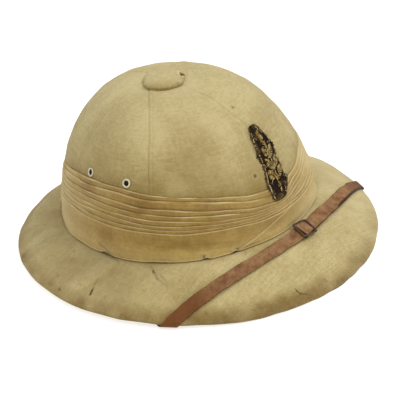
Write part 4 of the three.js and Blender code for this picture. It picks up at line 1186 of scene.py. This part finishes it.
# Levels of the pieces' middles over the brim's cloth, and places across the front
LYING = GAP + LEATHER / 2
ON_KEEPER = GAP + KEEPER_LEATHER + GAP + LEATHER / 2
ON_SHORT = GAP + LEATHER + GAP + LEATHER / 2
BAR_LEVEL = GAP + THIN + GAP + WIRE_HALF
ON_FOLD = BAR_LEVEL + WIRE_HALF + GAP + THIN + GAP + LEATHER / 2
RIM_X = -float(rim_centre(np.array(float(STRAP_RIM_ANGLE)))[0])
SLIDE_LEFT = SLIDE_AT - SLIDE_LENGTH / 2
SLIDE_RIGHT = SLIDE_AT + SLIDE_LENGTH / 2
BAR_AT = SLIDE_AT + SLIDE_CENTRE
KEEPER_FROM = SLIDE_LEFT + SLIDE_BAR + 1


def hidden_run(side):
    """Stations of the strap from the top of the rim round it, back under the brim and up the inside of
    the crown: places, directions across the strap and widths."""
    middle = RIM + LYING + GAP
    after, before = (rim_centre(np.array(side * (STRAP_RIM_ANGLE + half))) for half in (0.5, -0.5))
    edge = after - before
    per_degree = np.linalg.norm(edge)
    edge = edge / per_degree
    near, far = (strap_line(np.array([-side * RIM_X * k]), LYING)[0][0] for k in (0.96, 0.99))
    slant = abs(float(unit(far - near) @ edge))
    straight = math.sqrt(1 - slant * slant)
    wrap = math.pi * middle * slant / straight / per_degree
    turns = np.linspace(0, 1, 28)
    angle = side * (STRAP_RIM_ANGLE + wrap * turns)
    points = [rim_centre(angle) + rim_direction(angle, 90 - 180 * turns) * middle]
    share = np.linspace(0.12, 1, 24)
    start = STRAP_RIM_ANGLE + wrap
    lip = float(out_at_distance(np.array(float(side * STRAP_END_ANGLE)), -WALL))
    angle = side * (start + (STRAP_END_ANGLE - start) * (1 - (1 - share) ** 1.15))
    drop = middle + STRAP_SLACK * np.sin(np.pi * share / 1.2)
    points.append(on_brim(angle, 1 + (lip * 0.8 - 1) * share, -drop))
    end = float(side * STRAP_END_ANGLE)
    foot = on_crown(end, 0.0, -(WALL + LYING))
    foot[2] -= 2 * RIM + LYING + STRAP_SLACK
    heights = np.array([-RIM, 3, 7.5, 15, 20])
    wall = on_crown(end, up_at_height(end, np.maximum(heights, 0)), -(WALL + LYING + STRAP_SLACK + GAP))
    wall[:, 2] += np.minimum(heights, 0)
    points.append(np.concatenate([foot[None], wall]))
    path = np.concatenate(points)
    across = unit(np.cross(np.gradient(path, axis=0), [0, 0, 1.0]))
    inward = unit(-wall[-1] * [1, 1, 0])
    fore = unit(np.cross(inward, [0, 0, 1.0]))
    fore = fore * np.sign(fore @ edge)
    across = across * np.sign((across * edge).sum(-1, keepdims=True))
    count = np.arange(len(path))
    on_edge = 1 - step_up(count, 27, 36)
    on_wall = step_up(count, 44, 52)
    across = edge * on_edge[:, None] + across * (1 - on_edge)[:, None]
    across = unit(across * (1 - on_wall)[:, None] + fore * on_wall[:, None])
    width = STRAP_WIDTH * (1 + (1 / straight - 1) * on_edge)
    return path, across, width


def even_run(path, across, width, spacing, window):
    """The same run at an even spacing, its bends eased by a moving mean over a window of stations."""
    length = np.concatenate([[0], np.cumsum(np.linalg.norm(np.diff(path, axis=0), axis=-1))])
    places = np.linspace(0, length[-1], int(length[-1] / spacing) + 1)
    table = np.concatenate([path, across, width[:, None]], 1)
    table = np.stack([np.interp(places, length, column) for column in table.T], -1)
    padded = np.pad(table, ((window, window), (0, 0)), mode="edge")
    sums = np.cumsum(np.concatenate([np.zeros((1, 7)), padded]), axis=0)
    size = 2 * window + 1
    eased = (sums[size:] - sums[:-size]) / size
    near_end = np.minimum(np.arange(len(places)), np.arange(len(places))[::-1])[:, None]
    eased = np.where(near_end < window, table, eased)
    return eased[:, :3], unit(eased[:, 3:6]), eased[:, 6], places


def strap_piece(name, path, across, width, node):
    """Leather strap along a run: a flat section with rounded edges, a little bowed and uneven."""
    path, across, width, places = even_run(path, across, width, 0.8, 3)
    along = unit(np.gradient(path, axis=0))
    up = unit(np.cross(across, along))
    x = rounded_section(22)
    edge = np.clip((np.abs(x) - 0.88) / 0.12, 0, 1)
    thick = LEATHER / 2 * np.sqrt(1 - 0.93 * edge * edge)
    half = width[:, None] / 2
    crown_edge = half + 0.16 * unevenness(path, 19, 101)[:, None] + 0.07 * unevenness(path, 6, 102)[:, None]
    rim_edge = half + 0.16 * unevenness(path, 15, 103)[:, None]
    side = np.where(x[None] > 0, crown_edge, rim_edge) * x[None]
    spots = path[:, None] + side[..., None] * across[:, None]
    bowed = thick[None] + 0.12 * (1 - x * x)[None] + 0.05 * unevenness(spots, 8, 104) - 0.06
    loops = np.concatenate([spots + bowed[..., None] * up[:, None],
                            (spots - thick[None, :, None] * up[:, None])[:, ::-1]], 1)
    flat = np.stack(np.broadcast_arrays(places[:, None], side), -1)
    flat = there_and_back(flat, flat)
    # Dark cut edges, painted shade along the strip nearest the brim's rim, darker far to either side and in
    # patches; the marks below add cracks, worn steps and painted shadows
    dark = 0.85 * edge[None] + 0.4 * step_up(-path[:, :1], 74, 122) + 0.85 * step_up(-x, 0.5, 0.85)[None]
    dark = dark + 0.42 * step_up(path[:, :1], 58, 66) + 0.3 * blotches(path, 34, 105, 0.3, 1.8)[:, None]
    for place, lean, wide, way, start, tone in STRAP_MARKS:
        reach = step_up(x * way, start, start + 0.2)[None]
        dark = dark + tone * bump_at(np.abs(path[:, :1] - place - lean * side), wide) * reach
    dark = np.clip(np.concatenate([dark, 0.5 + 0 * dark], 1), 0, 1)
    tint = 0.85 * step_up(np.abs(path[:, :1]), 74, 122) + 0 * dark
    return wall_piece(name, loops, False, flat, strap_leather, [node], "leather", dark=dark, tint=tint)


# Cracks, worn steps and painted shadows beside the slide's bars: place across the front, lean, width, which
# edge it starts from, how far over the strap and how dark
STRAP_MARKS = [(60.0, 0.0, 0.8, -1, -0.2, 0.9), (38.0, 0.0, 0.5, 1, 0.3, 0.5),
               (-62.0, 0.1, 0.5, -1, 0.2, 0.45)]
# Painted shadows beside the slide's bars
STRAP_MARKS += [(place, 0.23, 1.1, 1, -1.5, 0.95)
                for place in (SLIDE_LEFT - 0.5, SLIDE_LEFT + SLIDE_BAR + 0.4, SLIDE_RIGHT - SLIDE_BAR - 0.5,
                              SLIDE_RIGHT + 0.6)]


def strap_run(x, level, side):
    """One strap's run at places across the front, after its hidden end on one side of the hat: path,
    directions across and the hidden end's widths."""
    point, up = strap_line(x, level)
    across = unit(np.cross(np.gradient(point, axis=0), up))
    across = across * np.sign(across[:, 1:2])
    path, ruling, width = hidden_run(side)
    ruling = ruling * np.sign((ruling[0] * across[0]).sum())
    return np.concatenate([path[::-1], point]), np.concatenate([ruling[::-1], across]), width[::-1]


def strap_pieces():
    """The long strap passes over the keeper and the short strap's end and under the slide's right bar,
    and ends over the short strap; the short strap's thin end runs in under the hidden bar."""
    tail = SLIDE_AT + STRAP_TAIL
    x = np.concatenate([np.linspace(-RIM_X * 0.985, SLIDE_LEFT - 6, 160),
                        np.linspace(SLIDE_LEFT - 5.5, SLIDE_RIGHT + 4, 60),
                        np.linspace(SLIDE_RIGHT + 5, tail, 60)])
    places = [-RIM_X, SLIDE_LEFT - 5, SLIDE_LEFT - 0.5, KEEPER_FROM + KEEPER_WIDTH + 0.3, BAR_AT - 1.4,
              BAR_AT + 1.6, SLIDE_RIGHT - SLIDE_BAR - 0.2, tail]
    levels = [LYING, LYING, ON_KEEPER, ON_KEEPER, ON_FOLD, ON_FOLD, ON_SHORT, ON_SHORT]
    path, across, width = strap_run(x, np.interp(x, places, levels) - 0.1, 1)
    tip = STRAP_WIDTH * (1 - 0.5 * step_up(x, tail - 7, tail) ** 2)
    strap_piece("strap_long_leather", path, across, np.concatenate([width, tip]), "strap_long")
    x = np.linspace(RIM_X * 0.985, SLIDE_RIGHT - 2.6, 200)
    path, across, width = strap_run(x, LYING - 0.1, -1)
    end = strap_line(np.array([BAR_AT]), np.array([BAR_LEVEL - (WIRE_HALF + GAP + THIN / 2)]))[0]
    strap_piece("strap_short_leather", np.concatenate([path, end]), np.concatenate([across, across[-1:]]),
                np.concatenate([width, STRAP_WIDTH + 0 * x, [STRAP_WIDTH - 1]]), "strap_short")


def frame_at(x, level):
    """Place, direction along, across and up at a place on the strap line."""
    point, up = strap_line(np.array([x - 1.0, float(x), x + 1.0]), np.full(3, float(level)))
    along = unit(point[2] - point[0])
    across = unit(np.cross(up[1], along))
    return point[1], along, across, unit(np.cross(along, across))


def rounded_loop(half_a, half_b, corner, count):
    """Places and outward directions round a rectangle with round corners."""
    quarter = np.linspace(0, np.pi / 2, count)
    turned = np.concatenate([quarter + k * np.pi / 2 for k in range(4)])
    signs = np.array([(1, 1), (-1, 1), (-1, -1), (1, -1)]).repeat(count, 0)
    centre = signs * [half_a - corner, half_b - corner]
    out = np.stack([np.cos(turned), np.sin(turned)], -1)
    return centre + out * corner, out


def keeper_piece():
    """Keeper: a strip of leather, 4 mm wide, closed round the long strap."""
    place, along, across, up = frame_at(KEEPER_FROM + KEEPER_WIDTH / 2, ON_KEEPER)
    half = STRAP_WIDTH / 2 + GAP + 0.5
    spots, outs = rounded_loop(half, LEATHER / 2 + GAP + 0.45, 0.9, 7)
    centre = place + spots[:, :1] * across + spots[:, 1:] * up
    x = rounded_section(12)
    centre = centre[:, None] + (x * KEEPER_WIDTH / 2)[None, :, None] * along
    thick = 0.6 * np.sqrt(1 - 0.9 * np.clip((np.abs(x) - 0.7) / 0.3, 0, 1) ** 2)
    out = thick[None, :, None] * (outs[:, :1] * across + outs[:, 1:] * up)[:, None]
    loops = np.concatenate([centre + out, (centre - out)[:, ::-1]], 1)
    flat = np.zeros((len(loops) + 1, loops.shape[1], 2))
    flat[..., 0] = np.linspace(0, 34, len(loops) + 1)[:, None]
    flat[..., 1] = np.concatenate([x, x[::-1]])[None] * 2
    dark = np.concatenate([0.4 + 0.6 * step_up(np.abs(x), 0.5, 0.9), 0.8 + 0 * x])
    wall_piece("strap_keeper_leather", loops, True, flat, strap_leather, ["strap_keeper"], "leather",
               dark=np.tile(dark, (len(loops), 1)))


def slide_piece():
    """Slide: a flattened wire frame with round corners, and a lower bar over the short strap's end."""
    place, along, across, up = frame_at(SLIDE_AT, 0.0)
    askew = math.radians(SLIDE_ASKEW)
    along, across = (along * math.cos(askew) - across * math.sin(askew),
                     across * math.cos(askew) + along * math.sin(askew))
    half = STRAP_WIDTH / 2 + GAP + 0.3 + SLIDE_BAR / 2
    level = ON_KEEPER + LEATHER / 2 + GAP + 2 * WIRE_HALF
    spots, outs = rounded_loop(SLIDE_LENGTH / 2 - SLIDE_BAR / 2, half, SLIDE_CORNER, 8)
    bow = 0.35 * (spots[:, 1] / half) ** 2
    centre = place + spots[:, :1] * along + spots[:, 1:] * across + (level - bow)[:, None] * up
    out = outs[:, :1] * along + outs[:, 1:] * across
    turned = np.linspace(0, 2 * np.pi, 14, endpoint=False) + np.pi / 14
    wide = np.sign(np.cos(turned)) * np.abs(np.cos(turned)) ** 0.75 * SLIDE_BAR / 2
    high = np.sign(np.sin(turned)) * np.abs(np.sin(turned)) ** 0.75 * WIRE_HALF
    loops = centre[:, None] + wide[None, :, None] * out[:, None] + high[None, :, None] * up
    flat = np.zeros((len(loops) + 1, 14, 2))
    corner = np.linalg.norm(spots - np.array([-SLIDE_LENGTH / 2, -half]), axis=-1)
    worn = (0.1 + 0.5 * bump_at(corner, 3.5))[:, None] + 0.12 * (high > 0.3)[None]
    wall_piece("strap_slide_metal", loops, True, flat, dark_brass, ["strap_slide"], "dark_metal", worn=worn)
    ends = np.linspace(-half, half, 24)[:, None]
    sag = BAR_LEVEL + (level - BAR_LEVEL) * step_up(np.abs(ends), half - 1.1, half)
    bar_centre = place + SLIDE_CENTRE * along + ends * across + sag * up
    ring = WIRE_HALF * (np.cos(turned)[:, None] * along + np.sin(turned)[:, None] * up)
    bar = bar_centre[:, None] + ring[None]
    wall_piece("strap_slide_bar", bar, False, np.zeros((*bar.shape[:2], 2)), dark_brass, [], "dark_metal",
               worn=np.full(bar.shape[:2], 0.1))


def stud_pieces():
    """Studs: a low round head on the strap's end and a shank in the wall."""
    for side, name in ((1, "strap_stud_right"), (-1, "strap_stud_left")):
        angle = float(side * STRAP_END_ANGLE)
        up = up_at_height(angle, STRAP_END_HEIGHT)
        behind = WALL + LYING + STRAP_SLACK + GAP + LEATHER / 2 + GAP
        face = on_crown(angle, up, -behind)
        axis = on_crown(angle, up, -(WALL + 20)) - face
        depth = GAP * 3 + LEATHER + STRAP_SLACK + 4
        profile = [(0, -depth), (1.5, -depth), (1.5, 0), (4.3, 0), (4.5, 0.25), (4.4, 0.6), (3.9, 1.0),
                   (2.8, 1.35), (1.4, 1.55), (0, 1.6)]
        lathe_piece(f"{name}_head", profile, face, axis, 40, dark_brass, [name], "dark_metal",
                    worn=np.full((1, len(profile)), 0.15))


strap_pieces()
keeper_piece()
slide_piece()
stud_pieces()


# Patch with a thread-worked sprig

PATCH_LENGTH = 60
PATCH_WIDTH = 26
PATCH_FELT = 1.4
PATCH_BOTTOM = 28
PATCH_LEAN = 4.5
PATCH_HEAD_LEAN = -12.5
PATCH_RIDE = 4


def on_patch(along, across, out, sunk=0.0):
    """Place on the patch, along from its foot and across in millimetres; its foot rides over the band."""
    along, across, out = np.broadcast_arrays(along, across, out)
    lean = PATCH_LEAN + (PATCH_HEAD_LEAN - PATCH_LEAN) * along
    start = crown_form(np.array(0.0), up_at_height(np.array(0.0), PATCH_BOTTOM))
    reach = math.hypot(start[0], start[1] - CROWN_TOP_BACK)
    height = PATCH_BOTTOM + PATCH_LENGTH * along * 0.9
    degrees = np.degrees((lean + across) / reach)
    above = height - band_height(degrees) - 0.6
    ride = (1 - step_up(above, 0, PATCH_RIDE)) * 2.1 * (1 - sunk)
    return on_crown(degrees, up_at_height(degrees, height), GAP + ride + out)


def patch_half(along):
    """Half width of the patch along its length: a long oval, fuller at the foot."""
    oval = np.sqrt(np.maximum(0, 1 - (2 * along - 1) ** 2))
    full = 1 - 0.08 * along + 0.26 * bump_at(along - 0.76, 0.15) + 0.14 * bump_at(along - 0.2, 0.14)
    return PATCH_WIDTH / 2 * (0.3 + 0.7 * oval ** 0.8) * full


def patch_piece():
    """Felt of the patch: a grid along and across with a ragged outline and a rounded, curling edge."""
    along = np.linspace(0, 1, 120)[:, None]
    x = np.sin(np.linspace(-np.pi / 2, np.pi / 2, 34))[None]
    line = np.concatenate([along * PATCH_LENGTH, along * 0, along * 0], 1)
    ragged = [1 + (0.07 * unevenness(line, long, seed) + 0.05 * unevenness(line, short, seed + 1))[:, None]
              for long, short, seed in ((9, 2.5, 111), (11, 2.2, 113))]
    half = patch_half(along) * np.where(x > 0, *ragged)
    place = np.stack(np.broadcast_arrays(along * 50, x * half, 0 * half), -1)
    rough = 0.16 * unevenness(place, 5, 115) + 0.1 * unevenness(place, 1.8, 116)
    thick = PATCH_FELT * (1 - 0.75 * np.clip((np.abs(x) - 0.8) / 0.2, 0, 1) ** 2)
    thick = thick + rough * (1 - np.abs(x) ** 4)
    top = on_patch(along, x * half, thick * 0.85)
    loops = np.concatenate([top, on_patch(along, x * half, 0.0, 0.4)[:, ::-1]], 1)
    flat = np.concatenate([place[..., :2], place[:, ::-1, :2]], 1)
    edge = step_up(np.abs(x), 0.78, 0.97) * np.ones_like(half)
    bare = blotches(place, 9, 117, 0.1, 1.1)
    pale = np.clip(0.75 * edge + 0.5 * bare + 0.6 * bump_at(along, 0.07), 0, 1)
    pale = there_and_back(pale, pale)
    wall_piece("badge_patch_felt", loops, False, flat, patch_felt, ["badge_patch"], "felt", pale=pale)


# Length that the sprig's sizes refer to, its two ends as shares of the patch, and the level of its roots
STEM = 54
SPRIG_FOOT = 0.1
SPRIG_HEAD = 0.86
ON_FELT = PATCH_FELT * 0.8
# Leaves: share along the stem, side, size and turn in degrees
LEAVES = [(along, side, size, turn)
          for along, size, turn in ((0.22, 1.0, 48), (0.42, 0.92, 44), (0.61, 0.8, 40))
          for side in (1, -1)] + [(0.76, 0, 1.0, 0)]


def sprig_piece():
    """Sprig: each leaf is two rows of slanting satin stitches from its midrib, some worn away; the stem
    is three twisted cords, a couched cord edges the patch and a few loose ends curl up."""
    seeded = np.random.default_rng(7)
    steps = np.linspace(0, 1, 9)
    paths, radii, tints = [], [], []

    def add(places, radius, tint):
        paths.append(places)
        radii.append(np.full(len(places), radius))
        tints.append(np.clip(tint, 0, 1) * np.ones(len(places)))

    for along, side, size, turn in LEAVES:
        t = np.repeat(np.linspace(0.04, 0.96, 16), 2)
        way = np.tile([1.0, -1.0], 16)
        wide = 3.4 * size * np.sin(np.pi * t ** 0.85)
        heading = math.radians(turn) * side
        forward = np.array([math.cos(heading), math.sin(heading)])
        beside = np.array([-math.sin(heading), math.cos(heading)])
        root = np.array([(SPRIG_FOOT + (SPRIG_HEAD - SPRIG_FOOT) * along) * STEM, 0.4 * side])
        rib = root + (13.5 * size * t)[:, None] * forward
        reach = (wide[:, None] * steps)[..., None]
        spots = rib[:, None] + reach * (beside * way[:, None])[:, None] + reach * 0.55 * forward
        lift = 0.5 + 0.42 * np.sin(np.pi * (0.15 + 0.85 * steps))[None]
        lift = lift + seeded.normal(0, 0.05, (len(t), 1))
        lift[:, -1] = 0.05
        kept = seeded.random(len(t)) > 0.3
        place = on_patch(spots[..., 0] / STEM, spots[..., 1], ON_FELT + lift)
        add(place[kept], 0.4, seeded.normal(0.25 if side < 0 else 0.1, 0.25, kept.sum()))
    share = np.linspace(0, 1, 90)
    for k in range(3):
        twist = share * 34 + k * 2 * np.pi / 3
        across = 0.38 * np.cos(twist) + 0.4 * np.sin(share * 5)
        stem = on_patch(SPRIG_FOOT + (SPRIG_HEAD - SPRIG_FOOT) * share, across,
                        ON_FELT + 0.75 + 0.3 * np.sin(twist))
        cords = stem.reshape(10, 9, 3)
        joints = np.concatenate([cords[1:, :1], cords[-1:, -1:]])
        add(np.concatenate([cords[:, :8], joints], 1), 0.34, 0.75 if k == 0 else 0.15)
    for way in (1.0, -1.0):
        count = 44
        share = np.linspace(0.03, 0.97, count + 1)[:, None]
        t = share[:-1] + (share[1:] - share[:-1]) * steps
        across = way * (patch_half(t) * 0.93 + 0.16 * np.sin(t * 190))
        kept = seeded.random(count) > (0.3 if way > 0 else 0.5)
        place = on_patch(t, across, PATCH_FELT * 0.62 + 0.35 + 0.12 * np.sin(t * 260))
        add(place[kept], 0.42, seeded.normal(0.75, 0.2, kept.sum()))
    count = 64
    at = seeded.uniform(0.06, 0.96, count)
    across = seeded.uniform(-0.95, 0.95, count) * patch_half(at)
    bend = seeded.uniform(-1, 1, (count, 2)) * 3
    curl = steps[None] ** 1.3
    place = on_patch(np.clip(at[:, None] + bend[:, :1] * curl / STEM, 0.0, 1.0),
                     across[:, None] + bend[:, 1:] * np.sin(curl * 1.6),
                     ON_FELT + 0.3 + seeded.uniform(0.2, 1.1, (count, 1)) * np.sin(np.pi * curl))
    add(place, 0.2, seeded.normal(0.6, 0.4, count))
    paths = np.concatenate(paths)
    thread_piece("badge_sprig_threads", paths, np.concatenate(radii), unit(paths - [0, CROWN_TOP_BACK, 30]),
                 np.concatenate(tints), sprig_thread, ["badge_sprig"])


patch_piece()
sprig_piece()


# Table, light and camera

def link_at(name, data, right, up, back, place):
    """Object in the scene at a place in metres, turned to three directions."""
    basis = np.eye(4)
    basis[:3] = np.stack([right, up, back, place], -1)
    made = bpy.data.objects.new(name, data)
    made.matrix_world = Matrix(basis.tolist())
    bpy.context.scene.collection.objects.link(made)
    return made


def area_light(name, place, size, power, tint):
    """Square soft light at a place in metres, turned to face the hat."""
    data = bpy.data.lights.new(name, "AREA")
    data.shape = "SQUARE"
    data.size = size
    data.energy = power
    data.color = colour(tint)[:3]
    back = unit(np.array(place) - [0, 0, 0.07])
    right = unit(np.cross([0, 0, 1.0], back))
    link_at(name, data, right, np.cross(back, right), back, place)


def floor():
    """Plain pale table top, far wider than the view."""
    mesh = bpy.data.meshes.new("table_top")
    mesh.from_pydata([(-6, -6, 0), (6, -6, 0), (6, 6, 0), (-6, 6, 0)], [], [(0, 1, 2, 3)])
    top = bpy.data.objects.new("table_top", mesh)
    bpy.context.scene.collection.objects.link(top)
    material, _, shader = new_material("white_paper")
    for key, value in (("Base Color", colour("#c8c7c4")), ("Roughness", 1.0), ("Specular IOR Level", 0.0),
                       ("Emission Color", colour("#ffffff")), ("Emission Strength", 0.66)):
        shader.inputs[key].default_value = value
    mesh.materials.append(material)


# View as the photo was taken: turned round the hat, above it and rolled, in degrees
VIEW = {"azimuth": -47.897, "elevation": 28.842, "roll": -5.427, "distance": 1288.374,
        "right": 7.935, "up": -25.811, "target": 60.0, "lens": 130.84}


def camera():
    """Camera on the sphere of the view's distance, rolled, then slid across and up its own plane."""
    a, e, r = (math.radians(VIEW[key]) for key in ("azimuth", "elevation", "roll"))
    back = np.array([math.sin(a) * math.cos(e), -math.cos(a) * math.cos(e), math.sin(e)])
    right = np.array([math.cos(a), math.sin(a), 0.0])
    up = np.cross(back, right)
    turned_right = math.cos(r) * right + math.sin(r) * up
    turned_up = -math.sin(r) * right + math.cos(r) * up
    place = (np.array([0, 0, VIEW["target"]]) + back * VIEW["distance"] + turned_right * VIEW["right"]
             + turned_up * VIEW["up"])
    data = bpy.data.cameras.new("view")
    data.sensor_width = 36
    data.lens = VIEW["lens"]
    data.clip_start = 0.05
    bpy.context.scene.camera = link_at("view", data, turned_right, turned_up, back, place * MM)


floor()
camera()
area_light("key_light", (0.7, -1.0, 1.9), 1.0, 22, "#fbfbff")
area_light("fill_light", (-1.6, -0.5, 1.1), 1.4, 5, "#fff6e4")
world = bpy.data.worlds.new("studio")
world.use_nodes = True
sky = world.node_tree
way = add_node(sky, "ShaderNodeSeparateXYZ", {0: add_node(sky, "ShaderNodeTexCoord").outputs["Generated"]})
rise = add_node(sky, "ShaderNodeMapRange", {"Value": way.outputs[2], "From Min": 0.0, "From Max": 0.9})
tone = add_node(sky, "ShaderNodeMix", {0: rise.outputs[0], 6: colour("#b0a58c"), 7: colour("#ffffff")},
                data_type="RGBA")
sky.links.new(tone.outputs[2], sky.nodes["Background"].inputs["Color"])
sky.nodes["Background"].inputs["Strength"].default_value = 1.05
bpy.context.scene.world = world
bpy.context.scene.view_settings.view_transform = "Standard"
